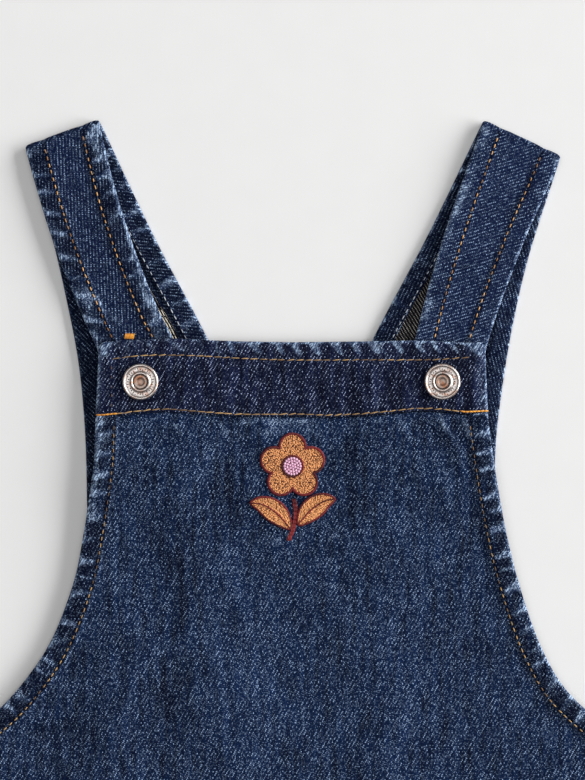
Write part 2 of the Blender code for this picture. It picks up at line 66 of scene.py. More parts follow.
# Cloth thicknesses and heights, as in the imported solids
CLOTH = 1.2
TURNING = 1.0
STRAP_TURNING = 0.8
BAND_CLOTH = 2.4
SEAM_GAP = 0.3
FRONT_RAISE = 2.5
STRAP_LIFT = 2.3
LIFT_ENDS = (44.0, 112.0)
CENTRE_SAG = 1.2
SAG_HALF_WIDTH = 34.0
FOLD_FADE = 22.0

# Main sizes of the cut
SKIRT_HEM = 20.0
BIB_TO_HEM = 396.0
BAND_DEPTH = 29.8
BIB_CORNER = 2.8
UNDERARM = (145.5, 167.5)
HEM_CORNER = (200.0, 387.0)
NECK_DROP = 52.0

# The front's edges down both armholes. Columns: drop, left x, right x
FRONT_EDGES = (
    (0, -80.9, 80.5), (30.2, -82.4, 81.7), (50.4, -83.1, 84.3), (64.9, -85, 86.6),
    (80.2, -87.4, 89.5), (100.4, -91.5, 94.5), (126.8, -101.8, 103.5), (143.6, -113.2, 112.6),
    (153.9, -122.6, 122.2), (162.6, -134, 133.8), (UNDERARM[1], -UNDERARM[0], UNDERARM[0]),
)

# Armhole edges of the back, from the underarm up to the shoulder fold. Columns: x, drop
BACK_ARMHOLE_LEFT = (
    (-UNDERARM[0], UNDERARM[1]), (-133, 163.4), (-112.2, 144.8), (-100.8, 127.5),
    (-90.6, 100.6), (-86.6, 80.2), (-86.3, 64.9), (-87.3, 34.4), (-90, 8), (-94.8, -17),
    (-100.6, -42), (-112.3, -81.9),
)
BACK_ARMHOLE_RIGHT = (
    (UNDERARM[0], UNDERARM[1]), (132.8, 163.4), (111.6, 144.8), (102.6, 127.5), (93.4, 100.6),
    (88.4, 80.2), (85.4, 62), (85.3, 43.5), (88.3, 17.8), (92.5, -7), (99, -35), (112.7, -77.7),
)

# Neckline of the back, from its lowest point up a strap to the shoulder fold. Columns: x, drop
NECK_LEFT = (
    (0, NECK_DROP), (-9, 49), (-18, 37.5), (-26.5, 20), (-35.6, -0.8), (-58, -43.6),
    (-81.4, -93.1),
)
NECK_RIGHT = (
    (0, NECK_DROP), (8.8, 49), (17.4, 37.5), (24.6, 20), (33.8, -0.8), (56.4, -43.6),
    (80.3, -92.8),
)

# A strap's front half from the shoulder fold down. Columns: its armhole edge, its neck edge
STRAP_FRONT_LEFT = (
    ((-112.3, -81.9), (-81.4, -93.1)), ((-107.9, -66), (-76.8, -73.5)),
    ((-102.3, -47.4), (-72, -56)), ((-95.4, -28.2), (-63.7, -31.6)),
    ((-87.2, -8.4), (-55.4, -11.2)), ((-80.4, 8), (-48.4, 3.4)), ((-77.2, 37.8), (-45.4, 36.4)),
)
STRAP_FRONT_RIGHT = (
    ((112.7, -77.7), (80.3, -92.8)), ((106.7, -63.4), (74.7, -77)),
    ((98.9, -46), (67.3, -56.2)), ((92.3, -29.4), (60.1, -33.6)), ((86.4, -13.4), (55.4, -17)),
    ((80.6, 6), (50.6, 3.4)), ((77, 37), (46.4, 37.4)),
)

# Soft folds across the front. Columns: x and drop at each end, half width, height
FRONT_FOLDS = (
    (-46, 60, -40, 150, 11, 1), (-70, 120, -92, 330, 16, 1.6), (-22, 140, -30, 360, 17, 1.4),
    (34, 90, 40, 215, 13, 1.1), (44, 200, 66, 372, 17, 1.7), (112, 205, 140, 370, 14, 1.5),
    (-128, 215, -150, 370, 13, 1.3), (-8, 84, 20, 118, 9, 0.7),
)

# Finer creases that the solid leaves out, in the same columns. A trough has a negative height
FRONT_CREASES = (
    (-77, 60, -52, 66, 2.6, 0.35), (-80, 88, -58, 82, 3.2, 0.3),
    (-84, 112, -50, 100, 4, -0.35), (70, 52, 80, 74, 2.4, 0.32), (76, 92, 54, 86, 3.5, -0.3),
    (92, 128, 60, 112, 4, 0.34), (-110, 158, -78, 132, 4.5, 0.4),
    (118, 160, 86, 138, 4.5, 0.38), (-26, 100, -18, 128, 3.6, 0.28),
    (22, 92, 14, 126, 3.2, -0.26), (-140, 240, -104, 300, 7, 0.5), (20, 250, 4, 330, 6, -0.45),
    (92, 270, 100, 350, 6, 0.5), (150, 230, 128, 290, 6.5, 0.45),
)

# Puckers that hang from the band's seam, in the same columns
PUCKERS = (
    (43.5, 30.7, 48.5, 40.3, 1.3, 0.55), (61.1, 29.4, 64.5, 36.5, 1.2, 0.5),
    (64.5, 36.5, 68.7, 44.9, 1.4, 0.5), (70.8, 30.7, 74.6, 41.6, 1.4, 0.6),
    (54.8, 31, 56.4, 38, 1.8, -0.35), (67.6, 30.5, 69.4, 37, 1.3, -0.35),
    (-61.5, 34.8, -52, 34, 1.5, 0.35), (-40, 31.5, -36, 40, 1.6, 0.3),
    (-14, 32, -8, 39, 1.5, 0.35), (9, 32, 5, 38, 1.4, 0.3), (26, 31.5, 30, 39, 1.6, 0.28),
)

# Creases pressed into the back's outer face, which lies on the table. Same columns
BACK_CREASES = (
    (-60, 90, -84, 210, 7, 0.5), (-10, 110, -22, 260, 8, 0.6), (48, 95, 62, 230, 7, 0.5),
    (96, 200, 118, 340, 8, 0.6), (-120, 230, -104, 350, 8, 0.6), (30, 250, 18, 360, 7, 0.5),
)

# The waves of the bib's top edge and of the band's lower edge. Columns: x, drop
TOP_WAVE = (
    (-81, 0.5), (-66.6, -0.2), (-60.3, -0.6), (-48.9, -1), (-36.8, -0.3), (-22.5, 0.2),
    (0, 0.6), (33, 0.2), (53, -0.2), (73.7, 0.8), (81, 0.4),
)
BAND_STITCH_LOW = (
    (-82, 31.1), (-79.6, 31), (-70.8, 30.2), (-63.6, 29.3), (-53.1, 28.6), (-38.9, 29.6),
    (-22.5, 30.7), (3.2, 30.7), (14.5, 31.1), (28.8, 30.5), (40.1, 29.5), (52.3, 28.3),
    (62.8, 28.7), (72.5, 29.7), (81.7, 29.3),
)
BAND_STITCH_SIDE = ((-75.6, 29), (-75.5, 22), (-75.7, 9.2))
BAND_STITCH_HIGH = (
    (-75.4, 7.6), (-62.8, 6.2), (-42.6, 6.2), (-22.5, 7.3), (-3.2, 8), (33, 8), (59, 7.9),
    (70, 7.2), (73.8, 7),
)
RAW_EDGE = ((-56.2, -13), (-54.4, -9.4), (-52.4, -6), (-50, -1), (-48, 3))
BAND_LOWER_LIP = 0.1  # how far the band's sewn edge lies below its lower stitches
BAND_LAP = 0.9  # how far the band's lower edge laps over the front

# Embroidered sprig on the bib
FLOWER_CENTRE = (0.0, 52.5)
FLOWER_RADIUS = 13.6
PETALS = 5
PETAL_NOTCH = 0.34
STEM = ((0.6, 66.4), (1.2, 72), (0.4, 78), (-1.6, 83.2))
LEAF_LEFT = ((-0.9, 78.6), (-6.6, 72.2), (-12.4, 68.6), (-17.4, 67.8))
LEAF_RIGHT = ((2.4, 77), (8, 70.6), (13.2, 67.2), (17.6, 66.2))
LEAF_HALF_WIDTH = 4.1
LEAF_TIP_HALF_WIDTH = 0.25

SIDE_LENGTH = math.dist(UNDERARM, HEM_CORNER)
CURVE_STEPS = 40
FINE_POINTS = 260
SEAM_POINTS = 400
MITRE_LIMIT = 0.6
EDGE_TURN = 8.0
TURN_WIDTH = 8.9  # from an edge to the end of its turning
TURN_STITCH = 7.9  # from an edge to its stitches
GROOVE_WIDTH = 0.55
FAR = 900.0  # farther from an edge than anything on it reaches


def ease(share: Array) -> Array:
    """0 below 0, 1 above 1, and a smooth S between them."""
    share = np.clip(share, 0.0, 1.0)
    return share * share * (3.0 - 2.0 * share)


def unit(ways: Array) -> Array:
    """The rows of an array, each a way, made one unit long."""
    return ways / np.linalg.norm(ways, axis=1)[:, None]


def rows_at(places: Array, known: Array, rows: Array) -> Array:
    """Rows between the given rows, which lie at the known places."""
    return np.stack([np.interp(places, known, column) for column in rows.T], axis=1)


def read_table(table: tuple, x: Array, column: int = 1) -> Array:
    """The values of a table's column between its rows, whose first column is x."""
    table = np.array(table)
    return np.interp(x, table[:, 0], table[:, column])


def spaced_line(points: Array, shares: int | Array) -> Array:
    """Points along a line of many points.

    Args:
        points: the line, a row for each point.
        shares: how many points, evenly spaced, or the shares of the length where they lie.

    Returns:
        A row for each new point.
    """
    along = lengths(points)
    at = np.linspace(0.0, 1.0, shares) if isinstance(shares, int) else shares
    return rows_at(at * along[-1], along, points)


def smooth_line(points: tuple, count: int) -> Array:
    """One smooth curve through the given points.

    Args:
        points: rows that the curve runs through.
        count: how many it gets.

    Returns:
        Points at even distances along it.
    """
    points = np.array(points, float)
    knots = np.cumsum(np.sqrt(np.linalg.norm(np.diff(points, axis=0), axis=1)))
    knots = np.concatenate([[0.0], knots])
    slopes = np.gradient(points, knots, axis=0)
    fine = []
    for index in range(len(points) - 1):
        width = knots[index + 1] - knots[index]
        t = np.linspace(0.0, 1.0, CURVE_STEPS, endpoint=index == len(points) - 2)[:, None]
        fine.append(
            (2 * t**3 - 3 * t**2 + 1) * points[index]
            + (t**3 - 2 * t**2 + t) * width * slopes[index]
            + (3 * t**2 - 2 * t**3) * points[index + 1]
            + (t**3 - t**2) * width * slopes[index + 1]
        )
    return spaced_line(np.concatenate(fine), count)


def lengths(line: Array) -> Array:
    """The distance along a line at which each of its points lies."""
    steps = np.linalg.norm(np.diff(line, axis=0), axis=1)
    return np.concatenate([[0.0], np.cumsum(steps)])


def inset(edge: Array, width: float, side: float) -> Array:
    """The edge moved by width, with mitred corners.

    Args:
        edge: points of the edge, x and drop.
        width: how far it moves.
        side: 1 where a left edge that runs upwards moves inwards, and -1 where it runs down.

    Returns:
        The moved points.
    """
    ahead = unit(np.diff(edge, axis=0))
    before = np.vstack([ahead[:1], ahead])
    after = np.vstack([ahead, ahead[-1:]])
    normals = np.stack([-before[:, 1] - after[:, 1], before[:, 0] + after[:, 0]], axis=1)
    normals *= side / np.linalg.norm(normals, axis=1)[:, None]
    own = side * np.stack([-after[:, 1], after[:, 0]], axis=1)
    mitre = 1.0 / np.clip((normals * own).sum(axis=1), MITRE_LIMIT, 1.0)
    return edge + normals * (width * mitre)[:, None]


def ripple(at: Array, wavelength: float, seed: int) -> Array:
    """Smooth uneven waves, mostly between -1 and 1, the same each run.

    Args:
        at: places along a line.
        wavelength: mean length of a wave.
        seed: picks the waves.

    Returns:
        The height at each place.
    """
    rng = np.random.default_rng(seed)
    total = np.zeros(np.shape(at))
    for _ in range(5):
        length = wavelength * rng.uniform(0.6, 1.7)
        total = total + np.sin(2.0 * math.pi * (at / length + rng.uniform()))
    return total / 2.4


def blotch(x: Array, y: Array, wavelength: float, seed: int) -> Array:
    """Smooth uneven hills over an area, mostly between -1 and 1, the same each run.

    Args:
        x: places across.
        y: places along.
        wavelength: mean length of a wave.
        seed: picks the hills.

    Returns:
        The height at each place.
    """
    rng = np.random.default_rng(seed)
    total = np.zeros(np.shape(x))
    for _ in range(9):
        length, heading = wavelength * rng.uniform(0.6, 1.8), rng.uniform(0.0, 2.0 * math.pi)
        way = x * math.cos(heading) + y * math.sin(heading)
        total = total + np.sin(2.0 * math.pi * (way / length + rng.uniform()))
    return total / 3.0


def scatter(index: Array, seed: int) -> Array:
    """A number from 0 to 1 for each whole number, the same each run."""
    return np.modf(np.abs(np.sin(index * 127.1 + seed * 311.7) * 43758.5))[0]


def soft_bumps(table: tuple, plan: Array, fade: float) -> Array:
    """The sum of long soft bumps.

    Args:
        table: rows of x and drop at each end, half width and height.
        plan: x and drop of the places where it is wanted.
        fade: how far past its ends a bump dies away.

    Returns:
        The height at each place.
    """
    x, drop = plan[..., 0], plan[..., 1]
    height = np.zeros(np.shape(x))
    for x0, drop0, x1, drop1, half_width, rise in table:
        along = np.array([x1 - x0, drop1 - drop0])
        length = np.linalg.norm(along)
        ahead = along / length
        way = (x - x0) * ahead[0] + (drop - drop0) * ahead[1]
        off = (x - x0) * -ahead[1] + (drop - drop0) * ahead[0]
        beyond = np.maximum(-way, 0.0) + np.maximum(way - length, 0.0)
        height = height + rise * np.exp(-((off / half_width) ** 2) - (beyond / fade) ** 2)
    return height


class Side(IntEnum):
    """The two sides of the denim, in the order of a piece's material slots."""

    RIGHT = 0
    REVERSE = 1


class Graph:
    """A material's nodes, with short ways to add and join them."""

    def __init__(self, name: str) -> None:
        """Starts a material that holds one Principled shader.

        Args:
            name: the material's name.
        """
        self.material = bpy.data.materials.new(name)
        self.material.use_nodes = True
        self.tree = self.material.node_tree
        self.shader = self.tree.nodes["Principled BSDF"]

    def add(self, kind: str, values: dict | None = None, **settings: object) -> bpy.types.Node:
        """Adds a shader node.

        Args:
            kind: the node's type without ShaderNode.
            values: numbers, colours or sockets for its inputs, by name or index.
            settings: its own settings.

        Returns:
            The node.
        """
        node = self.tree.nodes.new("ShaderNode" + kind)
        for key, value in settings.items():
            setattr(node, key, value)
        for key, value in (values or {}).items():
            self.put(node.inputs[key], value)
        return node

    def put(self, socket: Socket, value: object) -> None:
        """Links a socket to an input, or sets the input's own value.

        Args:
            socket: the input.
            value: a socket, or a number or colour.
        """
        if isinstance(value, bpy.types.NodeSocket):
            self.tree.links.new(value, socket)
        else:
            socket.default_value = value

    def math(self, operation: str, *values: float | Socket) -> Socket:
        """The result of a Math node on the given values."""
        return self.add("Math", dict(enumerate(values)), operation=operation).outputs[0]

    def times(self, value: float | Socket, factor: float | Socket) -> Socket:
        """The product of two values."""
        return self.math("MULTIPLY", value, factor)

    def plus(self, value: float | Socket, more: float | Socket) -> Socket:
        """The sum of two values."""
        return self.math("ADD", value, more)

    def scaled(self, value: Socket, factor: float | Socket, more: float | Socket) -> Socket:
        """The value by a factor, and more added to that."""
        return self.math("MULTIPLY_ADD", value, factor, more)

    def span(self, value: Socket, low: float, high: float, start: float = 0.0,
             end: float = 1.0) -> Socket:
        """The value's way from low to high as start to end, clamped, as a smooth S."""
        places = dict(enumerate((value, low, high, start, end)))
        return self.add("MapRange", places, interpolation_type="SMOOTHSTEP").outputs[0]

    def mix(self, share: float | Socket, first: Colour | Socket, second: Colour | Socket) -> Socket:
        """A colour between two colours."""
        ends = [c if isinstance(c, bpy.types.NodeSocket) else (*c, 1.0) for c in (first, second)]
        return self.add("Mix", {0: share, 6: ends[0], 7: ends[1]}, data_type="RGBA").outputs[2]

    def noise(self, vector: Socket, scale: float, detail: float = 2.0,
              rough: float = 0.5) -> Socket:
        """Noise from 0 to 1 over a vector."""
        values = {"Vector": vector, "Scale": scale, "Detail": detail, "Roughness": rough}
        return self.add("TexNoise", values).outputs[0]

    def random(self, *places: float | Socket) -> Socket:
        """A random number from 0 to 1 for each cell that the places number."""
        vector = self.add("CombineXYZ", dict(enumerate(places))).outputs[0]
        return self.add("TexWhiteNoise", {"Vector": vector}, noise_dimensions="3D").outputs[0]

    def swell(self, place: Socket, power: float = 0.6) -> Socket:
        """A rounded hump over each whole number's cell, 0 at its ends and slimmer by power."""
        hump = self.math("SINE", self.times(self.math("FRACT", place), math.pi))
        return self.math("POWER", hump, power)

    def bump(self, height: Socket, strength: float = 0.5) -> None:
        """Lets a height of up to 0.1 mm tilt the shader's surface."""
        node = self.add("Bump", {"Strength": strength, "Distance": 0.0001, "Height": height})
        self.put(self.shader.inputs["Normal"], node.outputs[0])

    def stored(self, name: str) -> Socket:
        """A number that the mesh stores for each point."""
        return self.add("Attribute", attribute_name=name).outputs["Fac"]


class WeaveGraph(Graph):
    """The nodes of a woven material, which reads its place on the cloth."""

    def __init__(self, name: str) -> None:
        """Starts the material and reads the place, whole and as x and y.

        Args:
            name: the material's name.
        """
        super().__init__(name)
        self.place = self.add("UVMap", uv_map="weave").outputs[0]
        self.axes = self.add("SeparateXYZ", {0: self.place}).outputs


@dataclass(frozen=True)
class Denim:
    """Indigo twill with the yarns, faded indigo, wear and painted shade of one piece of cloth."""

    name: str
    warp: Colour = (0.0015, 0.0032, 0.013)
    washed: Colour = (0.0115, 0.036, 0.122)
    worn: Colour = (0.018, 0.062, 0.190)
    abraded: Colour = (0.47, 0.64, 0.88)
    weft: Colour = (0.33, 0.46, 0.69)
    bare: Colour = (0.58, 0.72, 0.94)
    beads: float = 0.6
    bead_luck: float = 2.5
    dots: float = 0.5
    dot_luck: float = 3.0
    end_width: float = 0.385
    pick_width: float = 0.68
    wash: float = 0.5
    drag_turn: float = -30.0
    drag_share: float = 0.75
    twill_steps: float = 4.0

    def material(self) -> bpy.types.Material:
        """Makes the finish's material.

        Returns:
            The material.
        """
        g = WeaveGraph(self.name)
        place, axes = g.place, g.axes
        wobble = g.scaled(g.noise(place, 0.35, 1.0), 0.5, -0.25)
        ends = g.math("DIVIDE", g.plus(axes[0], wobble), self.end_width)
        picks = g.math("DIVIDE", g.math("SUBTRACT", axes[1], wobble), self.pick_width)
        end, pick = g.math("FLOOR", ends), g.math("FLOOR", picks)
        step = g.math("FLOORED_MODULO", g.math("SUBTRACT", end, pick), self.twill_steps)
        is_weft = g.math("LESS_THAN", step, 0.5)
        bulge = g.times(g.swell(ends), g.swell(picks, 1.7))
        wales = g.math("DIVIDE", g.math("SUBTRACT", ends, picks), self.twill_steps)
        wale = g.math("SINE", g.times(g.math("FRACT", wales), math.pi))

        washed = self.fading_and_shade(g, end)
        wear = g.stored("wear")
        grit = g.scaled(g.noise(place, 1.5, 3.0, 0.75), 1.9, -0.95)
        wear = g.times(g.span(g.plus(wear, grit), 0.12, 1.0),
                      g.span(wear, 0.0, 0.3))

        beads = self.beads_share(g, end, pick, washed)
        beads = g.times(beads, g.times(is_weft, bulge))
        dots = self.dots_share(g, washed, wear)
        strokes = self.strokes_share(g, wales, wear)

        warp = g.mix(washed, self.warp, self.washed)
        grain = g.noise(place, 3.0, 2.0, 0.6)
        warp = g.mix(g.span(grain, 0.39, 0.62, 0.0, 1.0), self.warp, warp)
        warp = g.mix(g.times(wear, 0.3), warp, self.worn)
        warp = g.mix(strokes, warp, self.abraded)
        pale = g.mix(wear, self.weft, self.bare)
        share = g.add("Clamp", {0: g.math("MAXIMUM", beads, dots)}).outputs[0]
        g.put(g.shader.inputs["Base Color"], g.mix(share, warp, pale))
        height = g.scaled(wale, 0.6, g.times(bulge, 0.3))
        g.bump(height)
        g.shader.inputs["Roughness"].default_value = 0.9
        g.shader.inputs["Specular IOR Level"].default_value = 0.03
        g.shader.inputs["Sheen Weight"].default_value = 0.006
        g.shader.inputs["Sheen Roughness"].default_value = 0.45
        return g.material

    def fading_and_shade(self, g: WeaveGraph, end: Socket) -> Socket:
        """How far the indigo has faded, in clouds, streaks and uneven yarns, and how much painted
        shade darkens it through the stored tone, from 0 to 1.

        Args:
            g: the material's nodes.
            end: number of the warp yarn.

        Returns:
            The share.
        """
        slub_place = g.add("CombineXYZ", {0: g.times(end, 3.7),
                                          1: g.times(g.axes[1], 0.045)}).outputs[0]
        slub = g.plus(g.times(g.random(end), 0.4), g.noise(slub_place, 1.0, 1.0))
        drag = g.add("Mapping", {0: g.place, 2: (0.0, 0.0, math.radians(self.drag_turn)),
                                 3: (0.34, 0.05, 1.0)}).outputs[0]
        streaks = g.times(g.noise(drag, 1.0, 2.0, 0.6), self.drag_share)
        clouds = g.times(g.noise(g.place, 0.06, 2.0), 0.7)
        washed = g.plus(g.plus(streaks, clouds),
                        self.wash - 0.35 - 0.5 * self.drag_share)
        washed = g.plus(washed, g.scaled(slub, 0.2, -0.14))
        # The stored tone holds the cloth's own darker and paler patches and also painted shade:
        # stitch holes, pucker troughs, round the buttons, beside the bib and straps.
        washed = g.plus(washed, g.stored("tone"))
        return g.add("Clamp", {0: washed}).outputs[0]

    def beads_share(self, g: WeaveGraph, end: Socket, pick: Socket, washed: Socket) -> Socket:
        """How strongly the weft shows where it crosses over the warp, uneven and in groups.

        Args:
            g: the material's nodes.
            end: number of the warp yarn.
            pick: number of the weft yarn.
            washed: how far the indigo has faded, lowered where shade is painted.

        Returns:
            The share.
        """
        luck = g.math("POWER", g.random(end, pick), self.bead_luck)
        group = g.span(g.noise(g.place, 0.22, 2.0, 0.6), 0.36, 0.62, 0.3, 1.0)
        share = g.scaled(washed, 0.9 * self.beads, 0.5 * self.beads)
        return g.times(share, g.times(luck, group))

    def dots_share(self, g: WeaveGraph, washed: Socket, wear: Socket) -> Socket:
        """Fine pale points of uneven strength in no order, brighter where the cloth is worn.

        Args:
            g: the material's nodes.
            washed: how far the indigo has faded, lowered where shade is painted.
            wear: how worn it is.

        Returns:
            The share.
        """
        down = g.times(g.axes[1], 2.3)
        row = g.math("FLOOR", down)
        across = g.scaled(g.axes[0], 2.3, g.random(row, 3.5))
        luck = g.random(g.math("FLOOR", across), row, 7.5)
        dot = g.times(g.swell(across, 1.0), g.swell(down, 1.0))
        strength = g.scaled(washed, 0.7 * self.dots, 0.3 * self.dots)
        calm = g.times(g.math("POWER", luck, self.dot_luck), strength)
        worn = g.times(g.times(luck, luck), wear)
        return g.times(dot, g.scaled(worn, 0.65, calm))

    def strokes_share(self, g: WeaveGraph, wales: Socket, wear: Socket) -> Socket:
        """Short pale strokes along the wales, where wear has bared the warp's core.

        Args:
            g: the material's nodes.
            wales: place across the wales.
            wear: how worn it is.

        Returns:
            The share.
        """
        fine = g.times(wales, 1.4)
        line = g.math("FLOOR", fine)
        along = g.scaled(g.axes[1], 0.55, g.times(g.random(line, 1.5), 9.0))
        chance = g.random(line, g.math("FLOOR", along), 2.5)
        chance = g.plus(chance, g.times(wear, 0.55))
        stroke = g.times(g.span(chance, 0.9, 1.4),
                        g.times(g.swell(along), g.swell(fine, 1.8)))
        return g.times(stroke, g.span(wear, 0.0, 0.6, 0.0, 0.95))


@dataclass(frozen=True)
class Thread:
    """Sewing or embroidery thread, whose stitches differ a little in shade."""

    name: str
    light: Colour
    dark: Colour
    sheen: float = 0.2
    rough: float = 0.55

    def material(self) -> bpy.types.Material:
        """Makes the finish's material.

        Returns:
            The material.
        """
        g = Graph(self.name)
        place = g.add("TexCoord").outputs["Object"]
        ply = g.noise(place, 3800.0, 1.0)
        shade = g.plus(g.stored("tone"), g.scaled(ply, 0.7, -0.35))
        g.put(g.shader.inputs["Base Color"], g.mix(g.span(shade, 0.0, 1.0), self.dark, self.light))
        g.bump(ply)
        g.shader.inputs["Roughness"].default_value = self.rough
        g.shader.inputs["Specular IOR Level"].default_value = 0.2
        g.shader.inputs["Sheen Weight"].default_value = self.sheen
        return g.material


@dataclass(frozen=True)
class Metal:
    """Tumbled metal with another metal showing through, dark where its form is deep."""

    name: str
    plate: Colour
    under: Colour
    show: float
    rough: float

    def material(self) -> bpy.types.Material:
        """Makes the finish's material.

        Returns:
            The material.
        """
        g = Graph(self.name)
        place = g.add("TexCoord").outputs["Object"]
        cloud = g.noise(place, 420.0, 4.0, 0.6)
        colour = g.mix(g.span(cloud, self.show, self.show + 0.25), self.under, self.plate)
        deep = g.mix(g.stored("tone"), (0.05, 0.035, 0.03), colour)
        g.put(g.shader.inputs["Base Color"], deep)
        g.shader.inputs["Metallic"].default_value = 1.0
        rough = g.scaled(g.noise(place, 900.0, 3.0), 0.3, self.rough - 0.15)
        g.put(g.shader.inputs["Roughness"], rough)
        g.bump(g.noise(place, 1500.0, 2.0), 0.25)
        return g.material


BODY_DENIM = Denim("washed_denim", beads=2.8, bead_luck=3.2, dots=1.1, dot_luck=7.0, wash=0.46,
                   drag_share=1.8)
STRAP_DENIM = Denim("strap_denim", washed=(0.0125, 0.026, 0.092), beads=2.2, bead_luck=1.9,
                    dots=0.5, dot_luck=7.0, wash=0.46)
BAND_DENIM = Denim(
    "band_denim",
    warp=(0.0022, 0.003, 0.012),
    washed=(0.013, 0.023, 0.085),
    weft=(0.46, 0.56, 0.82),
    beads=3.0,
    bead_luck=3.0,
    dots=0.3,
    dot_luck=6.0,
    end_width=0.36,
    pick_width=0.62,
    wash=0.28,
    drag_turn=0.0,
    drag_share=2.4,
)
REVERSE_DENIM = Denim(
    "denim_reverse",
    warp=(0.004, 0.004, 0.007),
    washed=(0.016, 0.018, 0.024),
    weft=(0.62, 0.59, 0.52),
    bare=(0.5, 0.52, 0.55),
    beads=2.2,
    bead_luck=0.35,
    dots=0.05,
    end_width=0.36,
    pick_width=0.58,
)
GOLD_THREAD = Thread("gold_thread", (0.72, 0.40, 0.17), (0.20, 0.085, 0.03))
DULL_THREAD = Thread("dull_gold_thread", (0.50, 0.31, 0.13), (0.10, 0.055, 0.03))
ORANGE_THREAD = Thread("orange_thread", (0.95, 0.42, 0.05), (0.55, 0.20, 0.03))
WHITE_THREAD = Thread("white_thread", (0.62, 0.66, 0.74), (0.22, 0.24, 0.30))
CREAM_THREAD = Thread("cream_thread", (0.74, 0.68, 0.56), (0.40, 0.34, 0.26))
TAN_THREAD = Thread("tan_embroidery", (0.90, 0.42, 0.17), (0.12, 0.028, 0.012), 0.05, 0.5)
BROWN_THREAD = Thread("red_brown_embroidery", (0.20, 0.02, 0.022), (0.045, 0.004, 0.008), 0.04,
                      0.5)
PINK_THREAD = Thread("pink_embroidery", (0.86, 0.50, 0.68), (0.55, 0.25, 0.40), 0.35, 0.4)
NICKEL = Metal("tumbled_nickel", (0.78, 0.72, 0.69), (0.60, 0.36, 0.27), 0.30, 0.34)
COPPER = Metal("worn_copper", (0.46, 0.36, 0.31), (0.42, 0.19, 0.11), 0.37, 0.42)


@dataclass(frozen=True)
class TurnedEdge:
    """A turned and stitched edge, with the slanting ridges that sewing and washing give it."""

    seed: int
    thick: float = TURNING
    width: float = TURN_WIDTH
    stitch: float = TURN_STITCH
    pitch: float = 9.3
    lean: float = 0.35
    ridge: float = 1.05
    rise: float = 0.30
    wear_share: float = 1.35
    edge_wear: float = 1.3
    haze: float = 0.25
    shade: float = 0.40
    sunk: float = 0.34

    def roping(self, along: Array, inwards: Array) -> Array:
        """How much each point lies on a ridge, from 0 to 1.

        Args:
            along: distance along the edge.
            inwards: distance in from it.

        Returns:
            The share at each point.
        """
        drift = 0.24 * self.pitch * ripple(along, 3.1 * self.pitch, self.seed)
        place = (along + self.lean * inwards + drift) / self.pitch
        nearest = np.round(place)
        strength = 0.3 + 0.7 * scatter(nearest, self.seed)
        off = (place - nearest) * self.pitch / self.ridge
        window = ease((self.width - 0.6 - inwards) / 2.2)
        return strength * np.exp(-(off**2)) * window

    def shape(self, along: Array, inwards: Array) -> tuple[Array, Array, Array]:
        """What the edge does to its cloth.

        Args:
            along: distance along the edge.
            inwards: distance in from it.

        Returns:
            The height that the turning, its ridges and the sunk stitches add to one layer of cloth,
            how pale the ridges and the very edge are worn, from 0 to 1, and how much darker than
            the open cloth the turning stays between its ridges, below 0, with painted shade added
            along the stitch line for the stitch holes.
        """
        roping = self.roping(along, inwards)
        step = self.thick * (1.0 - ease((inwards - self.width + 0.4) / 0.8))
        groove = self.sunk * np.exp(-(((inwards - self.stitch) / GROOVE_WIDTH) ** 2))
        ridges = self.rise * (roping - 0.3) * ease(inwards / 1.5) * (inwards < self.width)

        patchy = 0.6 + 0.4 * ripple(along, 7.0, self.seed + 50)
        edge = self.edge_wear * patchy * np.exp(-((inwards / 0.75) ** 2))
        edge = edge + self.haze * patchy * np.exp(-((inwards / 3.6) ** 2))
        fan = 0.55 + 0.45 * (1.0 - np.clip(inwards / self.width, 0.0, 1.0))
        beside = 0.22 * self.wear_share * np.exp(-(((inwards - self.stitch - 1.3) / 0.9) ** 2))
        wear = np.clip(edge + self.wear_share * roping * fan + beside, 0.0, 1.0)

        dark = self.shade * ease(self.width + 0.5 - inwards) * (1.0 - roping)
        # The dark line along the stitches is painted shade of the stitch holes and their groove.
        tone = -dark - 0.9 * np.exp(-(((inwards - self.stitch) / 0.6) ** 2))
        return step + ridges - groove, wear, tone


def rounding(inwards: Array, radius: float = 1.1) -> Array:
    """Share of its thickness that cloth keeps at that distance from a folded edge."""
    out = 1.0 - np.clip(inwards / radius, 0.0, 1.0)
    return np.maximum(np.sqrt(1.0 - out**2), 0.16)


@dataclass
class Patch:
    """A grid of points on a wall of cloth, with all that its faces need."""

    plan: Array
    under: Array
    over: Array
    wear_over: Array
    tone_over: Array
    wear_under: Array | float = 0.0
    grain_over: Array | float = 0.0
    side_over: Array | int = Side.RIGHT
    side_under: Array | int = Side.REVERSE
    rims: str = "nsew"
    plan_under: Array | None = None
    mirror: float = 1.0


def rounded(under: Array, over: Array, keep: Array) -> tuple[Array, Array]:
    """Both faces of a wall that keeps a share of its thickness about its middle."""
    middle, half_thick = (over + under) / 2, (over - under) / 2
    return middle - half_thick * keep, middle + half_thick * keep


def store(mesh: bpy.types.Mesh, name: str, values: Array) -> None:
    """Stores a number for each point of a mesh."""
    stored = mesh.attributes.new(name, "FLOAT", "POINT")
    stored.data.foreach_set("value", values.astype(np.float32))


def close_up(bm: bmesh.types.BMesh, mesh: bpy.types.Mesh) -> None:
    """Turns every face outwards and writes them all into a mesh.

    Args:
        bm: the faces, which are freed.
        mesh: where they go.
    """
    bmesh.ops.recalc_face_normals(bm, faces=bm.faces)
    if bm.calc_volume(signed=True) < 0.0:
        bmesh.ops.reverse_faces(bm, faces=bm.faces)
    bm.to_mesh(mesh)
    bm.free()


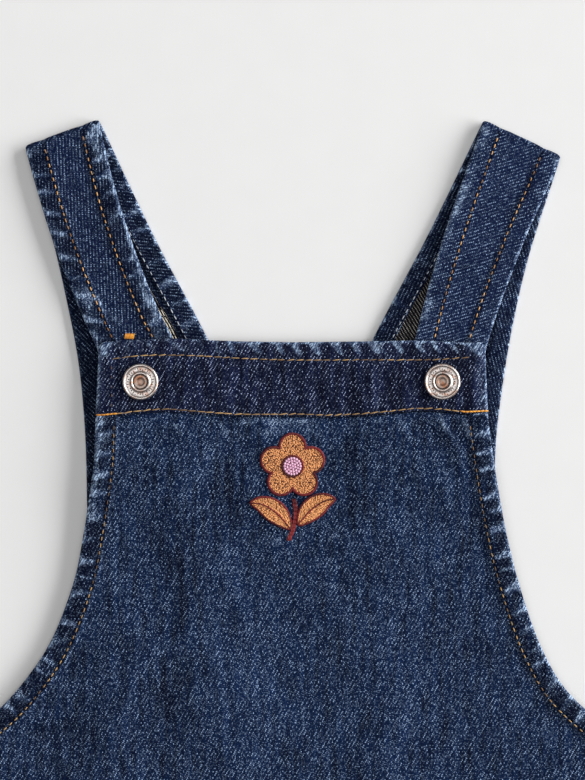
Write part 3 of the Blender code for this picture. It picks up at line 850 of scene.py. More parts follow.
def placed(mesh: bpy.types.Mesh) -> Object:
    """A new object of a mesh and its name, in the scene.

    Args:
        mesh: the mesh, with its place in it.

    Returns:
        The object.
    """
    mesh.shade_smooth()
    piece = bpy.data.objects.new(mesh.name, mesh)
    bpy.context.scene.collection.objects.link(piece)
    return piece


def to_space(plan: Array, height: Array) -> Array:
    """Points at those heights over a plan of x and drop, in millimetres."""
    return np.stack([plan[..., 0], BIB_Y - plan[..., 1], height], axis=-1)


class ClothMesh:
    """A closed wall of cloth that is put together from patches."""

    def __init__(self, name: str) -> None:
        """Starts an empty wall.

        Args:
            name: the piece's name.
        """
        self.name = name
        self.parts = {kind: [] for kind in ("points", "faces", "weave", "sides", "wear", "tone")}
        self.count = 0

    def keep(self, **arrays: Array) -> None:
        """Adds arrays to the lists of their names."""
        for kind, array in arrays.items():
            self.parts[kind].append(array)

    def add_face(self, plan: Array, height: Array, grain: Array | float, mirror: float,
                 side: Array | int, wear: Array | float, tone: Array | float) -> Array:
        """Adds one face of a patch.

        Args:
            plan: x and drop of each point, rows by columns.
            height: height of each point.
            grain: how far the cloth's grain is turned, in degrees, for the whole or each face.
            mirror: -1 where the weave is seen from its back.
            side: which side of the denim shows.
            wear: how worn each point is.
            tone: how much darker or lighter each point is.

        Returns:
            The number of each point, rows by columns.
        """
        rows, columns = height.shape
        index = self.count + np.arange(rows * columns).reshape(rows, columns)
        self.count += rows * columns
        corners = np.stack(
            [index[:-1, :-1], index[:-1, 1:], index[1:, 1:], index[1:, :-1]], axis=-1
        )
        points = to_space(plan, height).reshape(-1, 3)
        around = points[corners - index[0, 0], :2]
        turn = np.radians(np.broadcast_to(grain, corners.shape[:2]))[..., None]
        u = around[..., 0] * np.cos(turn) + around[..., 1] * np.sin(turn)
        v = around[..., 1] * np.cos(turn) - around[..., 0] * np.sin(turn)
        self.keep(
            points=points,
            faces=corners.reshape(-1, 4),
            weave=np.stack([u * mirror, v], axis=-1).reshape(-1, 4, 2),
            sides=np.broadcast_to(side, corners.shape[:2]).ravel(),
            wear=np.broadcast_to(wear, height.shape).ravel(),
            tone=np.broadcast_to(tone, height.shape).ravel(),
        )
        return index

    def add(self, patch: Patch) -> None:
        """Adds both faces of a patch and its rims.

        Args:
            patch: the patch.
        """
        a = self.add_face(patch.plan, patch.over, patch.grain_over, patch.mirror,
                          patch.side_over, patch.wear_over, patch.tone_over)
        plan = patch.plan if patch.plan_under is None else patch.plan_under
        b = self.add_face(plan, patch.under, 0.0, patch.mirror, patch.side_under,
                          patch.wear_under, 0.0)
        borders = {"s": (a[0], b[0]), "n": (a[-1], b[-1]),
                   "w": (a[:, 0], b[:, 0]), "e": (a[:, -1], b[:, -1])}
        where = np.concatenate(self.parts["points"])
        for rim in patch.rims:
            upper, lower = borders[rim]
            quads = np.stack([upper[:-1], lower[:-1], lower[1:], upper[1:]], axis=-1)
            self.keep(faces=quads, weave=where[quads][..., :2], sides=np.zeros(len(quads), int))

    def build(self, finishes: tuple) -> Object:
        """Makes the object.

        Args:
            finishes: the materials of the right side and of the reverse.

        Returns:
            The object, with its place in its mesh.
        """
        mesh = bpy.data.meshes.new(self.name)
        whole = {kind: np.concatenate(arrays) for kind, arrays in self.parts.items()}
        mesh.from_pydata((whole["points"] * MM).tolist(), [], whole["faces"].tolist())
        layer = mesh.uv_layers.new(name="weave")
        layer.data.foreach_set("uv", whole["weave"].ravel().astype(np.float32))
        mesh.polygons.foreach_set("material_index", whole["sides"].astype(np.int32))
        for name in ("wear", "tone"):
            store(mesh, name, whole[name])
        for finish in finishes:
            mesh.materials.append(finish)
        bm = bmesh.new()
        bm.from_mesh(mesh)
        bmesh.ops.remove_doubles(bm, verts=bm.verts, dist=2e-6)
        close_up(bm, mesh)
        return placed(mesh)


# Distances from a turned edge at which columns of points lie, up to the end of the turning
HEM_COLUMNS = (0.0, 0.25, 0.7, 1.3, 2.2, 3.2, 4.2, 5.2, 6.2, 7.0, 7.5, 7.9, 8.3, 8.6, 9.2)


def directions(fine: Array, coarse: Array, side: float) -> Array:
    """The way inwards from each point of a fine edge, a millimetre long across the cloth.

    Args:
        fine: points of the edge.
        coarse: fewer points of the same edge, so far apart that their ways don't cross.
        side: as in inset.

    Returns:
        A step inwards for each fine point.
    """
    steps = inset(coarse, 1.0, side) - coarse
    at = lengths(fine) / lengths(fine)[-1]
    known = lengths(coarse) / lengths(coarse)[-1]
    return rows_at(at, known, steps)


def towards(edge: Array, other: Array) -> Array:
    """A step of a millimetre from each point of an edge straight to the other edge."""
    return unit(other - edge)


def cut_short(line: Array, way: Array, width: float) -> Array:
    """A line that runs up to a fold, ended at that distance before its end's level."""
    kept = line[(line[-1] - line) @ way > width]
    return np.vstack([kept, line[-1] - way * width])


@dataclass
class Rungs:
    """Rows of points from edge to edge of a piece, close together in its turned edges."""

    left: Array
    left_way: Array
    right: Array
    right_way: Array
    columns: int
    sag: Array | None = None
    plan: Array = field(init=False)
    along: Array = field(init=False)
    inwards: Array = field(init=False)

    def __post_init__(self) -> None:
        """Works out the plan, and each point's distance along and in from its edge."""
        hem = np.array(HEM_COLUMNS)
        a = self.left[:, None] + self.left_way[:, None] * hem[None, :, None]
        b = self.right[:, None] + self.right_way[:, None] * hem[None, :, None]
        shares = np.linspace(0.0, 1.0, self.columns + 2)[1:-1]
        start, end = a[:, -1:], b[:, -1:]
        inner = start + (end - start) * shares[None, :, None]
        if self.sag is not None:
            inner[..., 1] += self.sag[:, None] * (1.0 - (2.0 * shares - 1.0) ** 2)
        self.plan = np.concatenate([a, inner, b[:, ::-1]], axis=1)
        span = np.linalg.norm(end - start, axis=2)
        near = np.broadcast_to(hem, (len(self.left), len(hem)))
        far = np.full(near.shape, FAR)
        from_left = np.concatenate([near, hem[-1] + span * shares, far], axis=1)
        from_right = np.concatenate(
            [far, hem[-1] + span * (1.0 - shares), near[:, ::-1]], axis=1
        )
        self.inwards = np.minimum(from_left, from_right)
        along_right = FAR + lengths(self.right)[:, None]
        self.along = np.where(from_left < from_right, lengths(self.left)[:, None], along_right)


class FrontForm:
    """The shape that the front and the band on it lie in."""

    @staticmethod
    def inside(plan: Array) -> Array:
        """Height of the front's inner face over the table.

        Args:
            plan: x and drop of each point.

        Returns:
            The height at each point.
        """
        x, drop = plan[..., 0], plan[..., 1]
        held = 1.0 - ease((drop - LIFT_ENDS[0]) / (LIFT_ENDS[1] - LIFT_ENDS[0]))
        height = FRONT_RAISE + STRAP_LIFT * held
        height = height - CENTRE_SAG * held * np.exp(-((x / SAG_HALF_WIDTH) ** 4))
        for x0, drop0, x1, drop1, half_width, rise in FRONT_FOLDS:
            share = np.clip((drop - drop0) / (drop1 - drop0), 0.0, 1.0)
            across = (x - (x0 + (x1 - x0) * share)) / half_width
            beyond = np.maximum(drop0 - drop, 0.0) + np.maximum(drop - drop1, 0.0)
            height = height + rise * np.exp(-(across**2) - (beyond / FOLD_FADE) ** 2)
        creases = soft_bumps(FRONT_CREASES, plan, 9.0)
        waves = 0.10 * blotch(x, drop, 26.0, 3) + 0.05 * blotch(x, drop, 9.0, 4)
        height = height + (creases + waves) * ease((drop - 20.0) / 20.0)
        return height + soft_bumps(PUCKERS, plan, 3.0) * ease((drop - BAND_DEPTH - 0.6) / 3.0)

    @staticmethod
    def on(plan: Array, lift: float) -> Array:
        """Points over a plan, lifted off the front's inner face."""
        return to_space(plan, FrontForm.inside(plan) + lift)

    @staticmethod
    def wave(plan: Array) -> Array:
        """How much lower the cloth at that place hangs than on a straight bib.

        Args:
            plan: x and drop of each point.

        Returns:
            The distance at each point.
        """
        x, drop = plan[..., 0], plan[..., 1]
        top_shift = read_table(TOP_WAVE, x)
        low_shift = read_table(BAND_STITCH_LOW, x) + BAND_LOWER_LIP - BAND_DEPTH
        on_band = top_shift + (low_shift - top_shift) * np.clip(drop / BAND_DEPTH, 0.0, 1.0)
        below = low_shift * (1.0 - ease((drop - BAND_DEPTH) / 26.0))
        return np.where(drop < BAND_DEPTH, on_band, below)


def side_shares(rows: int) -> Array:
    """Shares of the side seam's length at which rows cross it, closer in the hem."""
    hem = 1.0 - np.array(HEM_COLUMNS[::-1]) * SKIRT_HEM / TURN_WIDTH / SIDE_LENGTH
    return np.concatenate([np.linspace(0.0, hem[0], rows)[1:-1], hem])


def side_seam(side: float, shares: Array) -> Array:
    """Points down a side seam at those shares of its length. side is -1 on the left."""
    start, end = np.array(UNDERARM), np.array(HEM_CORNER)
    return (start + (end - start) * shares[:, None]) * (side, 1.0)


def hem_sag(shares: Array) -> Array:
    """How far each row of the skirt hangs below its turned edges, from 0 at the underarm."""
    slope = (HEM_CORNER[0] - UNDERARM[0]) / SIDE_LENGTH
    return (BIB_TO_HEM - HEM_CORNER[1] - EDGE_TURN * slope) * shares


def above_hem(side_rows: int, rows: int) -> Array:
    """How far above the hem each row lies, from the top down, and FAR over the underarm."""
    up = (1.0 - side_shares(side_rows)) * SIDE_LENGTH
    return np.concatenate([np.full(rows - len(up), FAR), up])


def front_edge(column: int, drops: Array) -> Array:
    """Points on one edge of the bib.

    Args:
        column: the table's column, 1 left or 2 right.
        drops: how far down each point lies.

    Returns:
        The points, with the bib's corner rounded.
    """
    x = read_table(FRONT_EDGES, drops, column)
    cut = np.clip(BIB_CORNER - drops, 0.0, BIB_CORNER)
    x = x - np.sign(x) * (BIB_CORNER - np.sqrt(BIB_CORNER**2 - cut**2))
    return np.stack([x, drops], axis=1)


# Patches where the front is worn paler (or, below 0, stays darker).
# Columns: x and drop of the middle, half length, half width, lean from upright, strength
FRONT_FADES = (
    (-9, 33.6, 8, 1.8, 95, 0.72), (4, 33.2, 6, 1.5, 88, 0.62), (-9.5, 38, 4.5, 2, 60, 0.62),
    (9, 38, 5.5, 1.6, 125, 0.55), (35, 33.2, 4, 1.4, 90, 0.65), (46, 35.5, 6, 1.2, 152, 0.72),
    (62.8, 33.6, 5, 1.4, 155, 0.7), (67, 41, 5.5, 1.1, 150, 0.55),
    (72.6, 36, 6.5, 1.3, 160, 0.62), (-60, 33.8, 3.4, 1.4, 75, 0.58),
    (-48.5, 36.5, 3.6, 1.1, 150, 0.6), (-28.5, 37.5, 5.5, 1.2, 150, 0.65),
    (-20.5, 34, 3.4, 1.5, 80, 0.62), (-72, 41.5, 4, 1.4, 10, 0.45),
    (-68, 52, 4.5, 2.2, 155, 0.35), (-79, 34.4, 3.4, 1.5, 60, 0.5),
    (-78.5, 41.8, 3.4, 1.8, 50, 0.45), (-77.5, 46.8, 2, 1, 60, 0.4),
    (-82, 52, 22, 1.2, 3, 0.55), (-7, 83.6, 5, 1.8, 75, 0.6), (17, 82, 3, 2, 90, 0.55),
    (6, 87, 6, 1.4, 95, 0.25), (-73.7, 110, 5, 0.7, 135, 0.3), (-82, 123.5, 6, 0.7, 135, 0.35),
    (-76.7, 134, 5, 0.6, 130, 0.28), (-88, 157, 6, 0.7, 130, 0.3),
    (-72.5, 153.7, 6, 0.7, 135, 0.3), (74, 92, 8, 0.9, 130, 0.3),
    (66, 100, 7, 0.9, 130, 0.3),
)
# Darker and paler patches of the front, in the same columns; the two small dark ones under the
# band's puckers are painted shade in their troughs
FRONT_TONES_AND_CREASE_SHADE = (
    (-26, 58, 20, 8, 0, -0.25), (27, 60, 18, 7, 0, -0.25), (0, 36, 14, 5, 90, 0.15),
    (-20, 130, 40, 22, 10, 0.15), (-96, 168, 24, 14, 40, -0.15), (-46, 104, 30, 9, 0, -0.2),
    (44, 130, 34, 14, 0, 0.15), (55.7, 35.4, 3.4, 4.2, 0, -0.35),
    (68.2, 35, 4, 2.2, 155, -0.45), (-52, 160, 26, 9, 5, -0.22), (-20, 164, 24, 10, 0, 0.15),
)


def painted(table: tuple, plan: Array) -> Array:
    """The sum of soft oval patches at each place.

    Args:
        table: rows of middle, half length, half width, lean and strength.
        plan: x and drop of the places.

    Returns:
        The strength at each place.
    """
    x, drop = plan[..., 0], plan[..., 1]
    total = np.zeros(np.shape(x))
    for x0, drop0, half_length, half_width, lean, strength in table:
        turn = math.radians(lean)
        up, off = math.cos(turn), math.sin(turn)
        way = ((x - x0) * off - (drop - drop0) * up) / half_length
        across = ((x - x0) * up + (drop - drop0) * off) / half_width
        total = total + strength * np.exp(-(way**2) - across**2)
    return total


@dataclass
class FrontPanel:
    """The A-line front, in one piece from under the band to the hem."""

    armhole_rows: int = 118
    side_rows: int = 66
    columns: int = 92
    coarse_rows: int = 18
    coarse_side_rows: int = 15
    left_turn: TurnedEdge = TurnedEdge(11, lean=0.25, pitch=8.8, haze=0.42, wear_share=1.5)
    right_turn: TurnedEdge = TurnedEdge(12, lean=-0.15, pitch=8.4, haze=0.46, wear_share=1.7)
    hem_turn: TurnedEdge = TurnedEdge(13, lean=0.4, pitch=11.0)

    def edges(self) -> tuple[Array, Array, Array, Array]:
        """The two edges and the ways inwards from them.

        Returns:
            The left edge and the ways inwards from it, then the right edge and its ways.
        """
        table = np.array(FRONT_EDGES)
        shares = side_shares(self.side_rows)
        coarse_shares = np.linspace(0.0, 1.0, self.coarse_side_rows)[1:]
        found = []
        for column, side in ((1, -1.0), (2, 1.0)):
            whole = smooth_line(table[:, [column, 0]], FINE_POINTS)
            below = whole[whole[:, 1] > BAND_DEPTH + SEAM_GAP]
            start = front_edge(column, np.array([BAND_DEPTH + SEAM_GAP]))
            armhole = np.vstack([start, below])
            fine = np.vstack([spaced_line(armhole, self.armhole_rows), side_seam(side, shares)])
            coarse = np.vstack(
                [spaced_line(armhole, self.coarse_rows), side_seam(side, coarse_shares)]
            )
            found += [fine, directions(fine, coarse, side)]
        return found[0], found[1], found[2], found[3]

    def rungs(self) -> Rungs:
        """The front's rows of points."""
        sag = np.concatenate([np.zeros(self.armhole_rows), hem_sag(side_shares(self.side_rows))])
        return Rungs(*self.edges(), self.columns, sag)

    def build(self) -> Object:
        """Makes the front's wall of cloth.

        Returns:
            The piece.
        """
        rungs = self.rungs()
        plan = rungs.plan.copy()
        plan[..., 1] += FrontForm.wave(plan)
        x = plan[..., 0]
        under = FrontForm.inside(plan)
        half = plan.shape[1] // 2
        extra, wear, tone = (np.zeros(x.shape) for _ in range(3))
        for turn, part in ((self.left_turn, np.s_[:, :half]), (self.right_turn, np.s_[:, half:])):
            place = rungs.along[part], rungs.inwards[part]
            extra[part], wear[part], tone[part] = turn.shape(*place)
        up = above_hem(self.side_rows, len(plan))
        hem_in = np.broadcast_to((up * self.hem_turn.width / SKIRT_HEM)[:, None], x.shape)
        hem = self.hem_turn.shape(x, hem_in)
        extra, wear = np.maximum(extra, hem[0]), np.maximum(wear, hem[1])
        tone = np.minimum(tone, hem[2])
        wear += painted(FRONT_FADES, plan)
        tone += painted(FRONT_TONES_AND_CREASE_SHADE, plan)
        over = under + CLOTH + extra
        keep = rounding(np.minimum(rungs.inwards, np.broadcast_to(up[:, None], x.shape)))
        cloth = ClothMesh("front_cloth")
        cloth.add(Patch(plan, *rounded(under, over, keep), wear, tone))
        piece = cloth.build((BODY_DENIM.material(), REVERSE_DENIM.material()))
        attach(piece, "root")
        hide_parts("front")
        return piece

    def seam(self, side: int, inwards: float, start: float, end: float) -> Array:
        """Points of a seam inside one edge, between two shares of the edge's length.

        Args:
            side: -1 left, 1 right.
            inwards: distance in from the edge.
            start: share of the edge where it starts.
            end: share of the edge where it ends.

        Returns:
            The points.
        """
        left, left_way, right, right_way = self.edges()
        edge, way = (left, left_way) if side < 0 else (right, right_way)
        last = 499
        line = spaced_line(edge + way * inwards, last + 1)[int(start * last): int(end * last) + 1]
        line[:, 1] += FrontForm.wave(line)
        return FrontForm.on(line, CLOTH + TURNING)

    def hem_seam(self) -> Array:
        """Points of the hem's seam from side to side.

        Returns:
            The points.
        """
        up = (1.0 - side_shares(self.side_rows)) * SIDE_LENGTH
        off = np.abs(up - SKIRT_HEM * TURN_STITCH / TURN_WIDTH)
        line = self.rungs().plan[self.armhole_rows + int(np.argmin(off))]
        return FrontForm.on(line, CLOTH + TURNING)


# Worn patches of the bib's band, in the same columns as FRONT_FADES
BAND_FADES = (
    (-78.6, 3, 3.4, 2.4, 20, 1.1), (-80.9, 9, 7, 0.8, 0, 0.45), (-81.2, 22, 9, 1, 0, 0.45),
    (76.5, 2.4, 3.4, 2.2, 90, 1.00), (78, 14, 12, 2.4, 0, 0.36), (79.5, 24, 4, 1.6, 20, 0.55),
    (81.3, 14, 15, 0.6, 0, 0.85), (-69.5, 2.6, 3.2, 1.2, 150, 0.5), (-62, 2.4, 3, 1, 35, 0.35),
    (-44, 2.6, 3, 1, 35, 0.35), (38, 3.8, 3, 1.2, 150, 0.5), (44.2, 3.6, 3, 1, 160, 0.5),
    (70.8, 25, 2.4, 1, 160, 0.6), (35.5, 25, 4, 1.4, 165, 0.4),
)
# Darker and paler patches of the band, in the same columns; the two round dark ones at the buttons
# are painted shadow of the buttons
BAND_TONES_AND_BUTTON_SHADE = (
    (-78.5, 18, 14, 2.4, 0, 0.3), (78, 16, 14, 2.6, 0, 0.45), (35.5, 20, 9, 2.6, 0, 0.3),
    (47, 15, 10, 2.4, 20, 0.18), (72.6, 15, 12, 1.3, 0, -0.5), (58, 14, 12, 5, 0, -0.15),
    (-63.8, 16.8, 8.8, 8.8, 0, -0.4), (62, 16.6, 8.8, 8.8, 0, -0.4),
)


@dataclass
class BibBand:
    """The double band of darker denim across the bib's top."""

    rows: int = 30
    columns: int = 110
    corner_angles: tuple = (0.0, 15.0, 30.0, 45.0, 60.0, 75.0, 90.0)
    top_turn: TurnedEdge = TurnedEdge(
        21, thick=0.0, width=6.8, stitch=60.0, pitch=8.4, lean=-0.6, rise=0.22, edge_wear=1.6,
        wear_share=2.3
    )
    side_turn: TurnedEdge = TurnedEdge(
        22, thick=0.0, width=6.6, stitch=60.0, lean=0.3, rise=0.12, wear_share=0.2
    )

    def build(self) -> Object:
        """Makes the band's wall of cloth.

        Returns:
            The piece.
        """
        corner = BIB_CORNER * (1.0 - np.cos(np.radians(self.corner_angles)))
        lap = np.array([BAND_DEPTH, BAND_DEPTH + 0.12, BAND_DEPTH + 0.5, BAND_DEPTH + BAND_LAP])
        rows = np.linspace(BIB_CORNER, BAND_DEPTH, self.rows)[1:-1]
        drops = np.concatenate([corner, rows, lap])
        left, right = front_edge(1, drops), front_edge(2, drops)
        rungs = Rungs(left, towards(left, right), right, towards(right, left), self.columns)
        plan = rungs.plan.copy()
        from_top = plan[..., 1].copy()
        plan[..., 1] += FrontForm.wave(plan)
        x, drop = plan[..., 0], plan[..., 1]
        under = FrontForm.inside(plan)
        top = self.top_turn.shape(x, from_top)
        side = self.side_turn.shape(rungs.along, rungs.inwards)
        extra = top[0] + side[0]
        off = drop - read_table(BAND_STITCH_LOW, x)
        extra -= 0.45 * np.exp(-((off / 0.7) ** 2))
        off = drop - read_table(BAND_STITCH_HIGH, x)
        extra -= 0.30 * np.exp(-((off / 0.6) ** 2)) * (rungs.inwards > 5.0)
        wear = top[1] * (0.45 + 0.75 * ease((x + 36.0) / 16.0))
        wear = np.maximum(wear, 0.6 * side[1])
        wear += painted(BAND_FADES, plan)
        tone = painted(BAND_TONES_AND_BUTTON_SHADE, plan)
        over = under + BAND_CLOTH + extra
        under = np.where(from_top > BAND_DEPTH + 0.05, under + CLOTH + 0.1, under)
        keep = rounding(np.minimum(rungs.inwards, from_top), 1.4)
        keep = np.minimum(keep, rounding(BAND_DEPTH + BAND_LAP - from_top, 0.9))
        cloth = ClothMesh("bib_band_cloth")
        cloth.add(Patch(plan, *rounded(under, over, keep), wear, tone, side_under=Side.RIGHT))
        piece = cloth.build((BAND_DENIM.material(), REVERSE_DENIM.material()))
        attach(piece, "root")
        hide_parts("bib_band")
        return piece

    def seam(self, table: tuple) -> Array:
        """Points of one of the band's seams."""
        return FrontForm.on(smooth_line(table, SEAM_POINTS), BAND_CLOTH - 0.1)


# Worn patches of the straps' front halves, in the same columns as FRONT_FADES
STRAP_FADES = (
    (-86, -18, 7, 1.9, -16, 0.75), (-81, -16, 6, 1.3, -40, 0.55), (-74, -9, 5, 1.6, -50, 0.45),
    (-82, 0, 8, 1.6, -12, 0.4), (-62.5, -20, 6, 1.3, -18, 0.75), (-58, -12, 9, 1.2, -18, 0.75),
    (-64.5, -32, 10, 1, -22, 0.8), (-71, -52, 20, 1.1, -19, 0.55),
    (-83, -84, 8, 2.2, -16, 0.8), (-82.5, -90.5, 3, 2.6, -20, 0.6),
    (-111, -79, 4, 1.2, -16, 0.6), (-97, -44, 16, 2, -18, 0.2), (-57, -1, 5, 2.2, -20, 0.5),
    (96.5, -30, 34, 1.3, 22, 0.75), (88, -10, 12, 1.4, 20, 0.7),
    (74.5, -1.5, 6, 1.6, 24, 0.5), (82, -12, 4, 2, 60, 0.45), (57, -14, 5, 2.6, 16, 0.6),
    (63, -10, 6, 1.6, 14, 0.35), (66, -46, 40, 1.6, 21, 0.22), (80.5, -86, 6, 2, 20, 0.55),
    (71, -60, 12, 1.6, 22, 0.5), (62, -28, 5, 1.4, -40, 0.4), (93, -50, 16, 1.6, 18, 0.28),
    (82, -62, 14, 1.6, 18, 0.25), (110.5, -76, 4, 1.2, 20, 0.55),
)

# Painted shade on the back's inner face beside the bib and the straps, where they shade it, in the
# same columns
BACK_PAINTED_SHADE = (
    (-87, 20, 60, 4, 0, -0.6), (-93, -30, 30, 4, -16, -0.5), (-88, 90, 30, 3.5, 10, -0.45),
    (-60, -20, 24, 3, -24, -0.4), (62, -44, 50, 2.6, 24, -0.55), (46, -8, 20, 3, 26, -0.35),
)


@dataclass
class BackWithStraps:
    """The back and both straps, cut in one piece, with the straps folded over in front."""

    side_rows: int = 62
    body_rows: int = 64
    leg_rows: int = 96
    front_rows: int = 92
    fold_steps: int = 12
    columns: int = 24
    coarse_side_rows: int = 15
    coarse_body_rows: int = 13
    coarse_leg_rows: int = 17
    strap_columns: int = 24
    # The left turning beside the bib gets a high shade and little wear: painted shadow of the
    # raised bib on it.
    left_inside_turn: TurnedEdge = TurnedEdge(
        31, rise=0.2, lean=-0.4, wear_share=0.08, edge_wear=0.5, haze=0.25, shade=0.7
    )
    right_inside_turn: TurnedEdge = TurnedEdge(
        35, rise=0.2, lean=-0.4, wear_share=0.3, edge_wear=0.6, haze=0.3, shade=0.2
    )
    left_neck_turn: TurnedEdge = TurnedEdge(
        32, width=9.9, stitch=9.0, rise=0.2, lean=0.4, pitch=8.8, haze=0.2, shade=0.35
    )
    right_neck_turn: TurnedEdge = TurnedEdge(
        36, rise=0.2, lean=0.4, pitch=8.8, wear_share=0.35, haze=0.2
    )
    left_strap_turn: TurnedEdge = TurnedEdge(33, thick=STRAP_TURNING, lean=-0.35, haze=0.3)
    right_strap_turn: TurnedEdge = TurnedEdge(
        34, thick=STRAP_TURNING, lean=0.35, wear_share=0.22, haze=0.2, shade=0.12
    )
    outer_turn: TurnedEdge = TurnedEdge(37, lean=0.3, haze=0.3, wear_share=1.2)
    strap_tones: tuple = (0.10, 0.36)
    left_neck_facing: float = 11.6
    fold_radius: float = (FRONT_RAISE + CLOTH) / 2
    groove: float = 0.32
    cloth: ClothMesh = field(default_factory=lambda: ClothMesh("back_cloth"))

    def body_edges(self) -> list:
        """For each side, the body's fine edge, the ways inwards and the edge of its strap.

        Returns:
            The left side's three arrays, and the right side's.
        """
        shares = side_shares(self.side_rows)
        coarse_shares = np.linspace(0.0, 1.0, self.coarse_side_rows)[1:]
        found = []
        for table, side in ((BACK_ARMHOLE_LEFT, -1.0), (BACK_ARMHOLE_RIGHT, 1.0)):
            whole = smooth_line(table, FINE_POINTS)
            split = int(np.argmax(whole[:, 1] < NECK_DROP))
            low, high = whole[: split + 1], whole[split:]
            fine = np.vstack([side_seam(side, shares)[::-1], spaced_line(low, self.body_rows)])
            coarse = np.vstack(
                [side_seam(side, coarse_shares)[::-1], spaced_line(low, self.coarse_body_rows)]
            )
            found.append((fine, directions(fine, coarse, -side), high))
        return found

    def grooved(self, height: Array, inwards: Array) -> Array:
        """The outer face's height, raised to a groove where its stitches lie."""
        off = (inwards - TURN_STITCH) / GROOVE_WIDTH
        return np.maximum(height, self.groove * np.exp(-(off**2)))

    def underside(self, plan: Array, inwards: Array) -> Array:
        """Height of the outer face, which lies on the table but for its creases and edges."""
        creases = soft_bumps(BACK_CREASES, plan, 14.0)
        return self.grooved(creases, inwards)

    def build_body(self) -> list:
        """Adds the back below its neckline, and returns each strap's first row and edge.

        Returns:
            For each strap, what build_strap needs.
        """
        (left, left_way, left_high), (right, right_way, right_high) = self.body_edges()
        middle = (left + left_way * EDGE_TURN + right + right_way * EDGE_TURN) / 2
        middle[:, 0] = 0.0
        middle[-1, 1] = NECK_DROP
        first = []
        sag = hem_sag(side_shares(self.side_rows))[::-1]
        sag = np.concatenate([sag, np.zeros(self.body_rows)])
        blend = ease((np.arange(len(left)) - len(left) + 9) / 8.0)[:, None]
        for edge, way, turn in ((left, left_way, self.left_inside_turn),
                                (right, right_way, self.right_inside_turn)):
            way += (towards(edge, middle) - way) * blend
            to_middle = towards(middle, edge + way * EDGE_TURN)
            rungs = Rungs(edge, way, middle, to_middle, self.columns)
            plan = rungs.plan
            span = plan[..., 0] / np.abs(edge[:, :1])
            plan[..., 1] += sag[:, None] * np.clip(1.0 - span**2, 0.0, 1.0)
            half = plan.shape[1] // 2
            inwards = rungs.inwards.copy()
            inwards[:, half:] = np.maximum(inwards[:, half:], 40.0)
            up = above_hem(self.side_rows, len(plan))[::-1, None]
            hem_in = np.broadcast_to(up * TURN_WIDTH / SKIRT_HEM, inwards.shape)
            under = self.grooved(self.underside(plan, inwards), hem_in)
            places = (rungs.along, inwards), (plan[..., 0], hem_in)
            edge_shape, hem_shape = (turn.shape(*place) for place in places)
            over = under * 0.7 + CLOTH + np.maximum(edge_shape[0], hem_shape[0])
            wear = np.maximum(edge_shape[1], hem_shape[1])
            outer_wear = np.maximum(*(self.outer_turn.shape(*place)[1] for place in places))
            tone = edge_shape[2] + painted(BACK_PAINTED_SHADE, plan)
            under, over = rounded(under, over, rounding(np.minimum(inwards, up)))
            shown = np.where(inwards[:-1, :-1] < TURN_WIDTH, int(Side.RIGHT), int(Side.REVERSE))
            self.cloth.add(Patch(plan, under, over, wear, tone, wear_under=outer_wear,
                                 side_over=shown, side_under=Side.RIGHT, rims="sw", mirror=-1.0))
            first.append((plan[-1], under[-1], over[-1]))
        return [(first[0], left_high, NECK_LEFT, STRAP_FRONT_LEFT, 1.0),
                (first[1], right_high, NECK_RIGHT, STRAP_FRONT_RIGHT, -1.0)]

    def over_way(self, table: tuple) -> Array:
        """The way across a strap's shoulder fold, out of the garment.

        Args:
            table: the strap's front half.

        Returns:
            The way, one unit long.
        """
        fold = np.array(table[0][1]) - np.array(table[0][0])
        fold /= np.linalg.norm(fold)
        way = np.array([fold[1], -fold[0]])
        return way if way[1] < 0 else -way

    def build_strap(self, first: tuple, high: Array, neck: tuple, table: tuple,
                    side: float) -> None:
        """Adds one strap: its back half, the shoulder fold and its front half.

        Args:
            first: plan and both heights of its lowest row.
            high: its armhole edge.
            neck: its neck edge.
            table: its front half.
            side: 1 left, -1 right.
        """
        radius = self.fold_radius
        over_way = self.over_way(table)
        high = cut_short(high, over_way, radius)
        neck_line = cut_short(smooth_line(neck, FINE_POINTS), over_way, radius)
        outer = spaced_line(high, self.leg_rows)
        inner = spaced_line(neck_line, self.leg_rows)
        coarse_outer = spaced_line(high, self.coarse_leg_rows)
        coarse_inner = spaced_line(neck_line, self.coarse_leg_rows)
        steps = inset(coarse_outer, 1.0, side) - coarse_outer
        for end in (0, -1):
            steps[end] = towards(coarse_outer, coarse_inner)[end]
        at, known = np.linspace(0, 1, self.leg_rows), np.linspace(0, 1, self.coarse_leg_rows)
        way = rows_at(at, known, steps)
        neck_way = towards(inner, outer + way * EDGE_TURN)
        rungs = Rungs(outer, way, inner, neck_way, self.strap_columns)
        plan = rungs.plan
        plan[0] = first[0]
        axis = plan[-1]
        half = plan.shape[1] // 2
        ramp = ease(np.arange(len(plan)) / 9.0)[::-1, None]
        ahead = unit(np.gradient(inner, axis=0))
        square = np.abs(ahead[:, 0] * neck_way[:, 1] - ahead[:, 1] * neck_way[:, 0])[:, None]
        inwards = rungs.inwards.copy()
        inwards[:, half:] *= np.maximum(square, 0.25)
        under = self.underside(plan, inwards) * ramp
        extra, wear, tone = (np.zeros(inwards.shape) for _ in range(3))
        start = ease(np.arange(len(plan)) / 12.0)[:, None]
        outside = self.left_inside_turn if side > 0 else self.right_inside_turn
        inside = self.left_neck_turn if side > 0 else self.right_neck_turn
        for turn, part, grow in ((outside, np.s_[:, :half], 1.0), (inside, np.s_[:, half:], start)):
            place = rungs.along[part], inwards[part]
            extra[part], wear[part], tone[part] = turn.shape(*place)
            extra[part] *= ramp * grow
        tone += painted(BACK_PAINTED_SHADE, plan)
        over = under * 0.7 + CLOTH + extra
        under, over = rounded(under, over, rounding(inwards))
        under[0], over[0] = first[1], first[2]
        facing = np.full(plan.shape[1] - 1, TURN_WIDTH)
        facing[half:] = self.left_neck_facing if side > 0 else TURN_WIDTH
